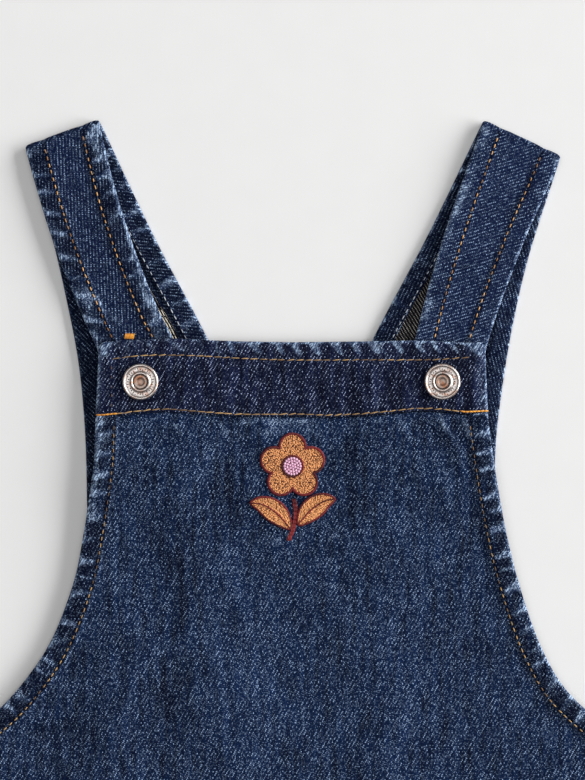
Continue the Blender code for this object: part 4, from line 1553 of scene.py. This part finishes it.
        in_hem = inwards[:-1, :-1] < facing
        shown = np.where(in_hem, int(Side.RIGHT), int(Side.REVERSE))
        grain = np.zeros(shown.shape)
        grain[:, :half] = np.where(in_hem[:, :half], 16.0 * side, 0.0)
        grain[:, half:] = np.where(in_hem[:, half:], 55.0 * side, 0.0)
        outer_wear = self.outer_turn.shape(rungs.along, inwards)[1]
        self.cloth.add(Patch(plan, under, over, wear, tone, wear_under=outer_wear,
                             side_over=shown, side_under=Side.RIGHT, rims="we",
                             grain_over=grain, mirror=-1.0))
        self.add_fold(axis, over_way, (under[-1], over[-1]), rungs, wear[-1])
        self.add_front_half(axis, over_way, table, side, (under[-1], over[-1]))

    def add_fold(self, axis: Array, over_way: Array, ends: tuple, rungs: Rungs,
                 wear: Array) -> None:
        """Adds the shoulder fold, a half turn about its axis.

        Args:
            axis: plan of the fold's row of points.
            over_way: the way across the fold.
            ends: both heights of that row.
            rungs: rows of the back half.
            wear: how worn that row is.
        """
        angles = np.radians(np.linspace(-90.0, 90.0, self.fold_steps + 1))[:, None]
        radius = self.fold_radius
        plans, heights = [], []
        inwards = rungs.inwards[-1][None]
        for rim in ends:
            reach = radius - rim[None]
            dip = 0.15 * np.exp(-(((inwards - TURN_STITCH) / 2.2) ** 2))
            dip = dip + 0.4 * np.exp(-inwards / 0.8)
            out = reach * (1.0 - dip) * np.cos(angles)
            plans.append(axis[None] + over_way * out[..., None])
            heights.append(radius + reach * np.sin(angles))
        worn = np.broadcast_to(0.25 + 0.5 * wear, heights[0].shape)
        uneven = 0.3 * ripple(np.arange(worn.shape[1]) * 1.1, 9.0, 71)[None]
        self.cloth.add(Patch(
            plans[1], heights[0], heights[1], np.zeros(worn.shape), np.zeros(worn.shape),
            plan_under=plans[0], wear_under=worn * 0.6 + uneven, side_over=Side.REVERSE,
            side_under=Side.RIGHT, rims="we",
        ))

    def add_front_half(self, axis: Array, over_way: Array, table: tuple, side: float,
                       ends: tuple) -> None:
        """Adds a strap's front half, from the fold to its end behind the bib.

        Args:
            axis: plan of the fold's row of points.
            over_way: the way across the fold.
            table: the strap's front half.
            side: 1 left, -1 right.
            ends: both heights of the fold's row.
        """
        radius = self.fold_radius
        edges = []
        for column in (0, 1):
            line = smooth_line([row[column] for row in table], FINE_POINTS)
            line = cut_short(line[::-1], over_way, radius)[::-1]
            edges.append(spaced_line(line, self.front_rows))
        outer, inner = edges
        rungs = Rungs(outer, towards(outer, inner), inner, towards(inner, outer),
                      self.strap_columns)
        plan = rungs.plan
        plan[0] = axis
        swell = ease(np.arange(len(plan)) / 9.0)[:, None]
        turn = self.left_strap_turn if side > 0 else self.right_strap_turn
        extra, wear, tone = turn.shape(rungs.along, rungs.inwards)
        wear = wear + painted(STRAP_FADES, plan)
        tone = tone + self.strap_tones[0 if side > 0 else 1]
        over = FRONT_RAISE + CLOTH + extra * swell
        under, over = rounded(FRONT_RAISE, over, rounding(rungs.inwards))
        under[0], over[0] = 2.0 * radius - ends[1], 2.0 * radius - ends[0]
        grain = 32.0 if side > 0 else -44.0
        self.cloth.add(Patch(plan, under, over, wear, tone, grain_over=grain, rims="nwe"))

    def build(self) -> Object:
        """Makes the back's wall of cloth with its straps.

        Returns:
            The piece.
        """
        for first, high, neck, table, side in self.build_body():
            self.build_strap(first, high, neck, table, side)
        piece = self.cloth.build((STRAP_DENIM.material(), REVERSE_DENIM.material()))
        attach(piece, "root")
        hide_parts("back_with_straps")
        return piece

    def strap_seam(self, side: int, neck_side: bool, inwards: float) -> Array:
        """Points of a seam down a strap's front half.

        Args:
            side: -1 left, 1 right.
            neck_side: whether it runs along the neck's edge.
            inwards: distance in from the edge.

        Returns:
            The points.
        """
        table = STRAP_FRONT_LEFT if side < 0 else STRAP_FRONT_RIGHT
        outer = smooth_line([row[0] for row in table], SEAM_POINTS)
        inner = smooth_line([row[1] for row in table], SEAM_POINTS)
        edge, other = (inner, outer) if neck_side else (outer, inner)
        line = edge + towards(edge, other) * inwards
        line = line[line[:, 1] < -0.5][12:]
        return to_space(line, np.full(len(line), FRONT_RAISE + CLOTH + STRAP_TURNING))

    def outer_seams(self, inwards: float) -> list:
        """Points of every seam on the back's outer face, which lies on the table.

        Args:
            inwards: distance in from the edges.

        Returns:
            A line of points for each seam.
        """
        lines = []
        for (edge, way, high), neck in zip(self.body_edges(), (NECK_LEFT, NECK_RIGHT)):
            inner, outer = smooth_line(neck, SEAM_POINTS), spaced_line(high, SEAM_POINTS)
            lines.append((edge + way * inwards)[5:])
            lines.append((outer + towards(outer, inner) * inwards)[:-14])
            lines.append((inner + towards(inner, outer) * inwards)[:-14])
        up = inwards * SKIRT_HEM / TURN_WIDTH
        share = np.array([1.0 - up / SIDE_LENGTH])
        corner = side_seam(1.0, share)[0]
        x = np.linspace(inwards - corner[0], corner[0] - inwards, 200)
        drop = corner[1] + hem_sag(share)[0] * (1.0 - (x / corner[0]) ** 2)
        lines.append(np.stack([x, drop], axis=1))
        return [to_space(line, np.full(len(line), 0.2)) for line in lines]

    def neck_seam(self, side: int, inwards: float) -> Array:
        """Points of the seam along the neckline's turned edge on a strap's back half.

        Args:
            side: -1 left, 1 right.
            inwards: distance in from the edge.

        Returns:
            The points.
        """
        neck = NECK_LEFT if side < 0 else NECK_RIGHT
        high = self.body_edges()[0 if side < 0 else 1][2]
        inner, outer = smooth_line(neck, SEAM_POINTS), spaced_line(high, SEAM_POINTS)
        line = (inner + towards(inner, outer) * inwards)[60:-30]
        lift = 0.3 if side < 0 else 0.0
        return to_space(line, np.full(len(line), CLOTH + TURNING + lift))


@dataclass
class StitchForm:
    """One stitch, modelled once: a round thread that dives into the cloth at both ends."""

    sides: int = 7
    rings: int = 6

    def model(self) -> tuple[Array, Array]:
        """Models a stitch one unit long and thick, along X.

        Returns:
            Its points and its faces, as triangles.
        """
        bpy.ops.object.select_all(action="DESELECT")
        bpy.ops.mesh.primitive_uv_sphere_add(segments=self.sides, ring_count=self.rings,
                                             radius=0.5, rotation=(0.0, math.pi / 2, 0.0))
        form = bpy.context.active_object
        bpy.ops.object.transform_apply(location=True, rotation=True, scale=True)
        bpy.ops.object.mode_set(mode="EDIT")
        bpy.ops.mesh.select_all(action="SELECT")
        bpy.ops.mesh.quads_convert_to_tris()
        bpy.ops.object.mode_set(mode="OBJECT")
        points = np.empty(len(form.data.vertices) * 3)
        form.data.vertices.foreach_get("co", points)
        faces = np.empty(len(form.data.polygons) * 3, int)
        form.data.polygons.foreach_get("vertices", faces)
        bpy.data.objects.remove(form)
        points = points.reshape(-1, 3)
        shares = points[:, 0] * 2.0
        points[:, 0] = np.sign(shares) * np.abs(shares) ** 0.62 / 2.0
        return points, faces.reshape(-1, 3)


def heading(angles: Array) -> Array:
    """Level ways at those angles from X."""
    return np.stack([np.cos(angles), np.sin(angles), np.zeros(len(angles))], axis=1)


def round_sizes(long: Array, thick: float) -> Array:
    """The sizes of round stitches of those lengths and one thickness."""
    return np.stack([long, np.full(len(long), thick), np.full(len(long), thick)], axis=1)


class StitchCloud:
    """Many stitches in one mesh."""

    def __init__(self, name: str, thread: Thread | Metal, under: bool = False) -> None:
        """Starts an empty cloud.

        Args:
            name: the piece's name.
            thread: what it is made of.
            under: whether it lies on the underside of its cloth.
        """
        self.name = name
        self.thread = thread
        self.under = under
        self.middles: list[Array] = []
        self.ways: list[Array] = []
        self.sizes: list[Array] = []
        self.tones: list[Array] = []

    def add(self, middles: Array, ways: Array, sizes: Array, tones: Array) -> None:
        """Adds stitches.

        Args:
            middles: the middle of each, in millimetres.
            ways: the way along each.
            sizes: length, width and thickness of each.
            tones: the shade of each, 0 dark to 1 light.
        """
        self.middles.append(middles)
        self.ways.append(unit(ways))
        self.sizes.append(np.broadcast_to(sizes, middles.shape))
        self.tones.append(np.broadcast_to(tones, len(middles)))

    def sew(self, line: Array, pitch: float, length: float, thick: float, seed: int,
            slant: float = 0.0, tone: float = 0.55) -> None:
        """Adds a row of stitches along a line of points.

        Args:
            line: the points.
            pitch: distance between stitches.
            length: length of a stitch.
            thick: its thickness.
            seed: picks its small differences.
            slant: how far it turns from the line, in radians.
            tone: its shade, 0 dark to 1 light.
        """
        total = lengths(line)[-1]
        count = max(int(total / pitch), 1)
        rng = np.random.default_rng(seed)
        shares = (np.arange(count) + 0.5 + rng.uniform(-0.08, 0.08, count)) / count
        middles = spaced_line(line, shares)
        step = 0.3 * pitch / total
        ways = spaced_line(line, np.clip(shares + step, 0, 1)) - spaced_line(
            line, np.clip(shares - step, 0, 1))
        turn = slant + rng.normal(0.0, 0.05, count)
        x, y = ways[:, 0].copy(), ways[:, 1].copy()
        ways[:, 0] = x * np.cos(turn) - y * np.sin(turn)
        ways[:, 1] = x * np.sin(turn) + y * np.cos(turn)
        sizes = round_sizes(length * rng.uniform(0.88, 1.08, count), thick)
        tones = tone + 0.35 * ripple(shares * total, 30.0, seed) + rng.uniform(-0.2, 0.2, count)
        self.add(middles, ways, sizes, np.clip(tones, 0.0, 1.0))

    def build(self, form: tuple[Array, Array], slot: str) -> Object:
        """Joins all the stitches into one piece that rides on the garment.

        Args:
            form: the points and faces of one stitch.
            slot: not used.

        Returns:
            The piece.
        """
        points, faces = form
        middles, ways = np.concatenate(self.middles), np.concatenate(self.ways)
        sizes, tones = np.concatenate(self.sizes), np.concatenate(self.tones)
        sideways = unit(np.stack([-ways[:, 1], ways[:, 0], np.zeros(len(ways))], axis=1))
        sideways *= -1.0 if self.under else 1.0
        upright = np.cross(ways, sideways)
        local = points[None] * sizes[:, None]
        local[..., 2] -= 0.9 * (points[None, :, 0] * 2.0) ** 2 * sizes[:, None, 2] * 0.6
        copies = (
            middles[:, None]
            + local[..., :1] * ways[:, None]
            + local[..., 1:2] * sideways[:, None]
            + local[..., 2:] * upright[:, None]
        )
        every = faces[None] + (np.arange(len(middles)) * len(points))[:, None, None]
        mesh = bpy.data.meshes.new(self.name)
        mesh.from_pydata((copies.reshape(-1, 3) * MM).tolist(), [], every.reshape(-1, 3).tolist())
        store(mesh, "tone", np.repeat(tones, len(points)))
        mesh.materials.append(self.thread.material())
        piece = placed(mesh)
        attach(piece, "root")
        return piece


@dataclass
class Sewing:
    """All rows of stitches that hold the garment together."""

    front: FrontPanel
    band: BibBand
    back: BackWithStraps
    inwards: float = TURN_STITCH
    left_neck_inwards: float = 9.0
    pitch: float = 3.0
    armhole_shares: tuple = (0.012, 0.19, 0.955)
    bartack: tuple = (-68.3, -1.9)
    back_tacks: tuple = ((-81.8, -73.5, 61), (70.5, 81.4, 62))

    def build(self, form: tuple[Array, Array]) -> list[Object]:
        """Sews every seam, a piece for each thread.

        Args:
            form: the points and faces of one stitch.

        Returns:
            The pieces.
        """
        gold = StitchCloud("strap_stitches", GOLD_THREAD)
        for index, (side, neck_side) in enumerate(((-1, False), (-1, True), (1, False), (1, True))):
            line = self.back.strap_seam(side, neck_side, self.inwards)
            gold.sew(line, self.pitch, 1.75, 0.5, 40 + index)
        dull = StitchCloud("armhole_and_hem_stitches", DULL_THREAD)
        start, split, end = self.armhole_shares
        for side in (-1, 1):
            line = self.front.seam(side, self.inwards, start, split)
            dull.sew(line, self.pitch, 1.8, 0.44, 50 + side, tone=0.3)
            line = self.front.seam(side, self.inwards, split, end)
            dull.sew(line, self.pitch, 1.8, 0.48, 150 + side, tone=0.8)
        dull.sew(self.front.hem_seam(), self.pitch, 2.0, 0.46, 53)
        band = StitchCloud("band_stitches", DULL_THREAD)
        band.sew(self.band.seam(BAND_STITCH_SIDE), 3.4, 2.2, 0.4, 59, slant=0.09, tone=0.25)
        band.sew(self.band.seam(BAND_STITCH_HIGH), 3.75, 3.7, 0.5, 54, slant=0.09, tone=0.6)
        band.sew(self.band.seam(BAND_STITCH_LOW), 3.75, 3.7, 0.52, 55, slant=0.09, tone=0.65)
        white = StitchCloud("neck_stitches", WHITE_THREAD)
        for side in (-1, 1):
            inwards = self.left_neck_inwards if side < 0 else self.inwards
            white.sew(self.back.neck_seam(side, inwards), self.pitch, 1.9, 0.4, 56 + side)
        cream = StitchCloud("raw_edge_threads", CREAM_THREAD)
        for shift in (0.0, 1.15):
            line = smooth_line(RAW_EDGE, 200) + (shift, 0.0)
            cream.sew(to_space(line, np.full(200, FRONT_RAISE + 0.4 - shift)), 2.6, 2.9, 0.38, 58,
                      tone=0.75)
        outer = StitchCloud("back_face_stitches", DULL_THREAD, under=True)
        for index, line in enumerate(self.back.outer_seams(self.inwards)):
            outer.sew(line, self.pitch, 1.9, 0.4, 70 + index)
        tacks = StitchCloud("bartack_and_back_tacks", ORANGE_THREAD)
        self.add_tacks(tacks)
        clouds = (gold, dull, band, white, cream, outer, tacks)
        return [cloud.build(form, "embroidery") for cloud in clouds]

    def add_tacks(self, cloud: StitchCloud) -> None:
        """Adds the bartack on the left strap and the back-tacks at both ends of the band.

        Args:
            cloud: the piece that they are added to.
        """
        rng = np.random.default_rng(60)
        count = 9
        x = self.bartack[0] + np.linspace(-1.75, 1.75, count)
        drop = self.bartack[1] + 0.05 * rng.normal(size=count)
        height = np.full(count, FRONT_RAISE + CLOTH + 0.35)
        middles = to_space(np.stack([x, drop], axis=1), height)
        ways = np.stack([0.12 + 0.06 * rng.normal(size=count), np.ones(count), np.zeros(count)],
                        axis=1)
        cloud.add(middles, ways, np.array([2.6, 0.5, 0.7]), rng.uniform(0.4, 1.0, count))
        for start, end, seed in self.back_tacks:
            x = np.linspace(start, end, 40)
            line = np.stack([x, read_table(BAND_STITCH_LOW, x)], axis=1)
            cloud.sew(FrontForm.on(line, BAND_CLOTH + 0.05), 1.5, 2.6, 0.7, seed, tone=0.7)


@dataclass
class Button:
    """A tack button: a ringed cap on the band and the nail that holds it to the strap."""

    side: str
    steps: int = 72
    ribs: int = 32

    # Columns: radius, height over the cap's underside, and how bright it is polished
    CAP = (
        (7.0, 0.0, 0.4), (7.45, 0.15, 0.45), (7.6, 0.5, 0.55), (7.6, 1.2, 0.65), (7.45, 1.6, 0.75),
        (7.15, 1.9, 0.8), (6.85, 1.97, 0.85), (6.6, 1.88, 0.7), (6.42, 1.62, 0.35),
        (6.2, 1.5, 0.55), (5.2, 1.5, 0.85), (4.4, 1.55, 0.6), (4.2, 1.75, 0.6), (4.0, 2.1, 0.9),
        (3.75, 2.22, 1.0), (3.45, 2.15, 0.9), (3.2, 1.8, 0.6), (3.02, 1.2, 0.4),
        (2.95, 0.95, 0.3), (2.2, 0.85, 0.2), (2.2, 0.0, 0.2),
    )
    TIP = ((1.9, 0.9, 0.3), (2.6, 1.0, 0.5), (2.85, 1.2, 0.7), (2.75, 1.5, 0.9), (2.4, 1.62, 0.9),
           (1.9, 1.55, 0.85), (1.5, 1.3, 0.55), (1.0, 1.15, 0.7), (0.4, 1.1, 0.8))
    PLATE_RADIUS = 4.5
    PLATE_THICK = 0.7

    def place(self) -> tuple[float, float, float]:
        """The middle of the cap's underside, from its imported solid, in millimetres."""
        low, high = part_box(f"button_cap_{self.side}")
        return (low[0] + high[0]) / 2 / MM, (low[1] + high[1]) / 2 / MM, low[2] / MM

    def turned(self, name: str, profile: tuple, closed: bool, finish: Metal) -> Object:
        """Models a turned piece from a circle that is extruded row by row.

        Args:
            name: the piece's name.
            profile: rows of radius, height and brightness.
            closed: whether the last row joins the first, as round a hole.
            finish: its metal.

        Returns:
            The piece.
        """
        x, y, z = self.place()
        bpy.ops.object.select_all(action="DESELECT")
        radius, height, _ = profile[0]
        bpy.ops.mesh.primitive_circle_add(
            vertices=self.steps, radius=radius * MM, fill_type="NOTHING" if closed else "NGON",
            location=(x * MM, y * MM, (z + height) * MM))
        piece = bpy.context.active_object
        piece.name = name
        piece.data.name = name
        bpy.ops.object.transform_apply(location=True, rotation=True, scale=True)
        bpy.ops.object.mode_set(mode="EDIT")
        bpy.ops.mesh.select_all(action="SELECT")
        for new_radius, new_height, _ in profile[1:]:
            bpy.ops.mesh.extrude_region_move(
                TRANSFORM_OT_translate={"value": (0.0, 0.0, (new_height - height) * MM)})
            scale = new_radius / radius
            bpy.ops.transform.resize(value=(scale, scale, 1.0),
                                     center_override=(x * MM, y * MM, (z + new_height) * MM))
            radius, height = new_radius, new_height
        bpy.ops.object.mode_set(mode="OBJECT")
        bm = bmesh.new()
        bm.from_mesh(piece.data)
        bmesh.ops.remove_doubles(bm, verts=bm.verts, dist=1e-7)
        join = bmesh.ops.bridge_loops if closed else bmesh.ops.holes_fill
        join(bm, edges=[e for e in bm.edges if e.is_boundary])
        close_up(bm, piece.data)
        co = np.empty(len(piece.data.vertices) * 3)
        piece.data.vertices.foreach_get("co", co)
        co = co.reshape(-1, 3) / MM - (x, y, z)
        where = np.stack([np.hypot(co[:, 0], co[:, 1]), co[:, 2]], axis=1)
        rows = np.array(profile)
        nearest = np.argmin(np.linalg.norm(where[:, None] - rows[None, :, :2], axis=2), axis=1)
        store(piece.data, "tone", rows[nearest, 2])
        piece.data.materials.append(finish.material())
        piece.data.shade_smooth()
        piece.data.set_sharp_from_angle(angle=math.radians(50))
        return piece

    def build(self, form: tuple[Array, Array]) -> list[Object]:
        """Makes the cap, the ornament round it and the nail.

        Args:
            form: the points and faces of one stitch.

        Returns:
            The pieces.
        """
        cap = self.turned(f"cap_{self.side}", self.CAP, True, NICKEL)
        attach(cap, "root")
        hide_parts(f"button_cap_{self.side}")
        x, y, z = self.place()
        under = FRONT_RAISE - SEAM_GAP - z
        plate = ((self.PLATE_RADIUS, under - self.PLATE_THICK, 0.5),
                 (self.PLATE_RADIUS, under, 0.4), (1.9, under, 0.3))
        nail = self.turned(f"nail_{self.side}", plate + self.TIP, False, COPPER)
        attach(nail, "root")
        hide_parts(f"button_nail_{self.side}")
        angles = np.arange(self.ribs) * 2.0 * math.pi / self.ribs
        out = heading(angles)
        around = np.stack([-out[:, 1], out[:, 0], out[:, 2]], axis=1)
        kind = np.arange(self.ribs) % 4
        ways = np.where((kind == 1)[:, None], out, around)
        sizes = np.array(((0.85, 0.5, 0.5), (1.5, 0.4, 0.5), (0.5, 0.5, 0.5), (0.7, 0.7, 0.5)))
        reach = np.array((5.2, 5.3, 5.7, 5.0))[kind][:, None]
        ornament = StitchCloud(f"cap_ornament_{self.side}", COPPER)
        ornament.add(np.array((x, y, z + 1.55)) + out * reach, ways, sizes[kind], 0.2)
        return [cap, nail, ornament.build(form, "button_metal")]


@dataclass
class Sprig:
    """The embroidered flower, stem and leaves on the bib."""

    pad: float = 0.55
    thread: float = 0.5
    hub: float = 4.4
    rings: int = 10

    def reach(self, angles: Array) -> Array:
        """The flower's radius at each angle."""
        petal = np.abs(np.cos(PETALS / 2.0 * (angles - math.pi / 2))) ** 0.75
        return FLOWER_RADIUS * (1.0 - PETAL_NOTCH * (1.0 - petal))

    def flower_point(self, angles: Array, radii: Array) -> Array:
        """x and drop of points on the flower."""
        return np.stack([FLOWER_CENTRE[0] + radii * np.cos(angles),
                         FLOWER_CENTRE[1] - radii * np.sin(angles)], axis=-1)

    def padding(self, name: str, plan: Array, rims: str, thread: Thread) -> Object:
        """Makes the low padding under a motif, near the thread's dark colour as painted shade
        between its stitches.

        Args:
            name: the piece's name.
            plan: rows of points, x and drop.
            rims: the sides where it ends in a wall.
            thread: what it is made of.

        Returns:
            The piece.
        """
        base = FrontForm.inside(plan) + CLOTH
        wall = ClothMesh(name)
        # Its low tone paints shade into the gaps between the stitches above it.
        wall.add(Patch(plan, base, base + self.pad, 0.0, 0.06, side_under=Side.RIGHT, rims=rims))
        piece = wall.build((thread.material(),))
        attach(piece, "root")
        return piece

    def leaf_widths(self, count: int) -> Array:
        """Half widths of a leaf along its vein."""
        swell = np.sin(np.linspace(0.0, math.pi, count))
        return LEAF_HALF_WIDTH * swell**0.8 + LEAF_TIP_HALF_WIDTH

    def leaf_sides(self, vein: tuple, count: int) -> tuple[Array, Array, Array]:
        """A leaf's vein and both of its edges, as points of x and drop.

        Args:
            vein: rows that the vein runs through.
            count: how many points each line gets.

        Returns:
            The vein, the left edge and the right edge.
        """
        middle = smooth_line(vein, count)
        ahead = unit(np.gradient(middle, axis=0))
        off = np.stack([-ahead[:, 1], ahead[:, 0]], axis=1) * self.leaf_widths(count)[:, None]
        return middle, middle + off, middle - off

    def raise_line(self, line: Array, lift: float) -> Array:
        """The points of a line on the bib, lifted off the cloth."""
        return FrontForm.on(line, CLOTH + lift)

    def fill_flower(self, cloud: StitchCloud) -> None:
        """Fills the petals with rings of short uneven stitches that point outwards.

        Args:
            cloud: the piece that they are added to.
        """
        rng = np.random.default_rng(81)
        for ring in range(self.rings):
            share = (ring + 0.5) / self.rings
            mean = self.hub + share * (FLOWER_RADIUS * 0.86 - self.hub)
            count = int(2.0 * math.pi * mean / (self.thread * 1.12))
            angles = (np.arange(count) + 0.5 * (ring % 2)) * 2.0 * math.pi / count
            angles = angles + rng.normal(0.0, 0.12 / mean, count)
            span = self.reach(angles) - self.hub - 0.3
            radii = self.hub + share * span + rng.uniform(-0.3, 0.3, count)
            place = self.flower_point(angles, radii)
            ways = heading(angles)
            ways[:, :2] += rng.normal(0.0, 0.45, (count, 2))
            sizes = round_sizes(span / self.rings * rng.uniform(0.9, 1.6, count), self.thread)
            tones = np.clip(rng.normal(0.85, 0.3, count), 0.0, 1.0)
            cloud.add(self.raise_line(place, self.pad + 0.1), ways, sizes, tones)

    def fill_leaf(self, cloud: StitchCloud, vein: tuple, seed: int) -> None:
        """Fills a leaf with short slanting stitches from its vein to its edges.

        Args:
            cloud: the piece that they are added to.
            vein: rows that the vein runs through.
            seed: picks their small differences.
        """
        rng = np.random.default_rng(seed)
        middle, left, right = self.leaf_sides(vein, 40)
        for edge in (left, right):
            start, end = middle[:-4], edge[4:]
            length = np.linalg.norm(end - start, axis=1)
            for share in (0.14, 0.38, 0.62, 0.86):
                kept = length > 0.9
                place = (start + (end - start) * share)[kept]
                place = place + rng.normal(0.0, 0.12, place.shape)
                way = np.concatenate([end - start, np.zeros((len(start), 1))], axis=1)[kept]
                way[:, 1] *= -1.0
                way[:, :2] += rng.normal(0.0, 0.5, (len(way), 2))
                size = length[kept] * 0.25 * rng.uniform(0.9, 1.5, len(way))
                sizes = round_sizes(np.maximum(size, 0.6), self.thread)
                tones = np.clip(rng.normal(0.85, 0.3, len(way)), 0.0, 1.0)
                cloud.add(self.raise_line(place, self.pad + 0.1), way, sizes, tones)

    def build(self, form: tuple[Array, Array]) -> list[Object]:
        """Embroiders the sprig.

        Args:
            form: the points and faces of one stitch.

        Returns:
            The pieces.
        """
        angles = np.linspace(0.0, 2.0 * math.pi, 121)
        rings = np.linspace(0.02, 1.0, 12)[:, None]
        flower = self.flower_point(np.broadcast_to(angles, (12, 121)),
                                   rings * (self.reach(angles) - 0.2))
        pad = self.padding("flower_padding", flower, "n", TAN_THREAD)
        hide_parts("sprig_flower")
        made = [pad]
        fill = StitchCloud("sprig_filling", TAN_THREAD)
        self.fill_flower(fill)
        outline = StitchCloud("sprig_outline", BROWN_THREAD)
        ring = self.flower_point(angles, self.reach(angles) - 0.1)
        outline.sew(self.raise_line(ring, self.pad + 0.2), 0.42, 1.5, 0.6, 82, slant=1.15)
        hub = self.flower_point(angles, np.full(len(angles), self.hub))
        outline.sew(self.raise_line(hub, self.pad + 0.3), 0.42, 1.1, 0.55, 83, slant=1.15)
        stem = smooth_line(STEM, 60)
        for shift in (-0.5, 0.1, 0.6):
            outline.sew(self.raise_line(stem + (shift, 0.0), 0.35), 1.6, 2.6, 0.85, 84, slant=0.2)
        for name, vein, seed in (("left", LEAF_LEFT, 85), ("right", LEAF_RIGHT, 86)):
            middle, left, right = self.leaf_sides(vein, 40)
            shares = np.linspace(-0.96, 0.96, 9)[:, None, None]
            plan = middle[None] + (left - middle)[None] * shares
            leaf = self.padding(f"leaf_padding_{name}", plan, "nsew", TAN_THREAD)
            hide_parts(f"sprig_leaf_{name}")
            made.append(leaf)
            self.fill_leaf(fill, vein, seed)
            edge = np.concatenate([left, right[::-1]])
            outline.sew(self.raise_line(edge, self.pad + 0.15), 0.42, 1.3, 0.55, seed + 4,
                        slant=1.15)
            outline.sew(self.raise_line(middle, self.pad + 0.4), 1.4, 2.2, 0.6, seed + 6,
                        slant=0.15)
        made.append(fill.build(form, "embroidery"))
        lines = outline.build(form, "embroidery_dark")
        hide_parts("sprig_stem")
        made += [lines, self.build_knots()]
        return made

    def build_knots(self) -> Object:
        """Fills the flower's middle with rings of small knots.

        Returns:
            The piece.
        """
        knots = StitchCloud("flower_knots", PINK_THREAD)
        places = [(0.0, 0.0)]
        for ring, count in ((1.15, 6), (2.25, 12), (3.35, 18)):
            for index in range(count):
                angle = 2.0 * math.pi * (index + 0.3 * ring) / count
                places.append((ring * math.cos(angle), ring * math.sin(angle)))
        plan = np.array(places) + FLOWER_CENTRE
        rng = np.random.default_rng(87)
        ways = heading(rng.uniform(0.0, math.pi, len(plan)))
        knots.add(self.raise_line(plan, self.pad + 0.3), ways, np.array((1.2, 1.1, 0.9)),
                  rng.uniform(0.5, 1.0, len(plan)))
        return knots.build(StitchForm(10, 8).model(), "embroidery")


@dataclass
class Studio:
    """The pale table, the soft light and the camera straight above."""

    distance: float = 1.5
    view_height: float = 0.3276
    look_drop: float = 20.6

    def build(self) -> None:
        """Makes the table, the lights and the camera."""
        self.table()
        self.light("window", (4.2, 0.90, 1.60), (0.0, 0.10, 0.0), (5.2, 2.4), 390.0)
        self.light("ceiling", (-0.3, 0.3, 2.4), (0.0, 0.1, 0.0), (2.4, 2.4), 26.0)
        world = bpy.data.worlds.new("studio")
        world.use_nodes = True
        world.node_tree.nodes["Background"].inputs[0].default_value = (0.97, 0.98, 1.0, 1.0)
        world.node_tree.nodes["Background"].inputs[1].default_value = 0.16
        bpy.context.scene.world = world
        bpy.context.scene.view_settings.view_transform = "Standard"
        camera = bpy.data.cameras.new("camera")
        camera.sensor_width = 36.0
        camera.lens = camera.sensor_width * self.distance / self.view_height
        obj = bpy.data.objects.new("camera", camera)
        obj.location = (0.0, (BIB_Y - self.look_drop) * MM, self.distance)
        bpy.context.scene.collection.objects.link(obj)
        bpy.context.scene.camera = obj

    def table(self) -> None:
        """Makes the table's top, a pale matt surface with a faint grain."""
        bpy.ops.object.select_all(action="DESELECT")
        bpy.ops.mesh.primitive_plane_add(size=6.0, location=(0.0, 0.0, -0.0002))
        top = bpy.context.active_object
        top.name = "table_top"
        bpy.ops.object.transform_apply(location=True, rotation=True, scale=True)
        g = Graph("pale_table")
        grain = g.noise(g.add("TexCoord").outputs["Object"], 60.0, 4.0)
        colour = g.mix(grain, (0.805, 0.80, 0.795), (0.835, 0.83, 0.825))
        g.put(g.shader.inputs["Base Color"], colour)
        g.shader.inputs["Roughness"].default_value = 0.8
        g.shader.inputs["Specular IOR Level"].default_value = 0.2
        top.data.materials.append(g.material)

    def light(self, name: str, at: tuple, to: tuple, size: tuple, power: float) -> None:
        """Adds a soft rectangular light that faces a point.

        Args:
            name: its name.
            at: where it stands.
            to: the point that it faces.
            size: its width and depth.
            power: its power in watts.
        """
        data = bpy.data.lights.new(name, "AREA")
        data.shape = "RECTANGLE"
        data.size, data.size_y = size
        data.energy = power
        obj = bpy.data.objects.new(name, data)
        way = np.array(to) - np.array(at)
        obj.location = at
        turn = math.atan2(way[0], -way[1])
        tilt = math.acos(-way[2] / np.linalg.norm(way))
        obj.rotation_euler = (tilt, 0.0, math.pi + turn)
        bpy.context.scene.collection.objects.link(obj)


def triangles(piece: Object) -> int:
    """How many triangles a piece has."""
    return sum(len(face.vertices) - 2 for face in piece.data.polygons)


def main() -> None:
    """Builds every piece in order and reports it."""
    logging.basicConfig(level=logging.INFO, format="%(name)s: %(message)s")
    Studio().build()
    front, band, back = FrontPanel(), BibBand(), BackWithStraps()
    pieces = [back.build(), front.build(), band.build()]
    form = StitchForm().model()
    pieces += Sewing(front, band, back).build(form)
    for side in ("left", "right"):
        pieces += Button(side).build(form)
    pieces += Sprig().build(form)
    for piece in pieces:
        log.info("%s has %d triangles", piece.name, triangles(piece))


if __name__ == "__main__":
    main()
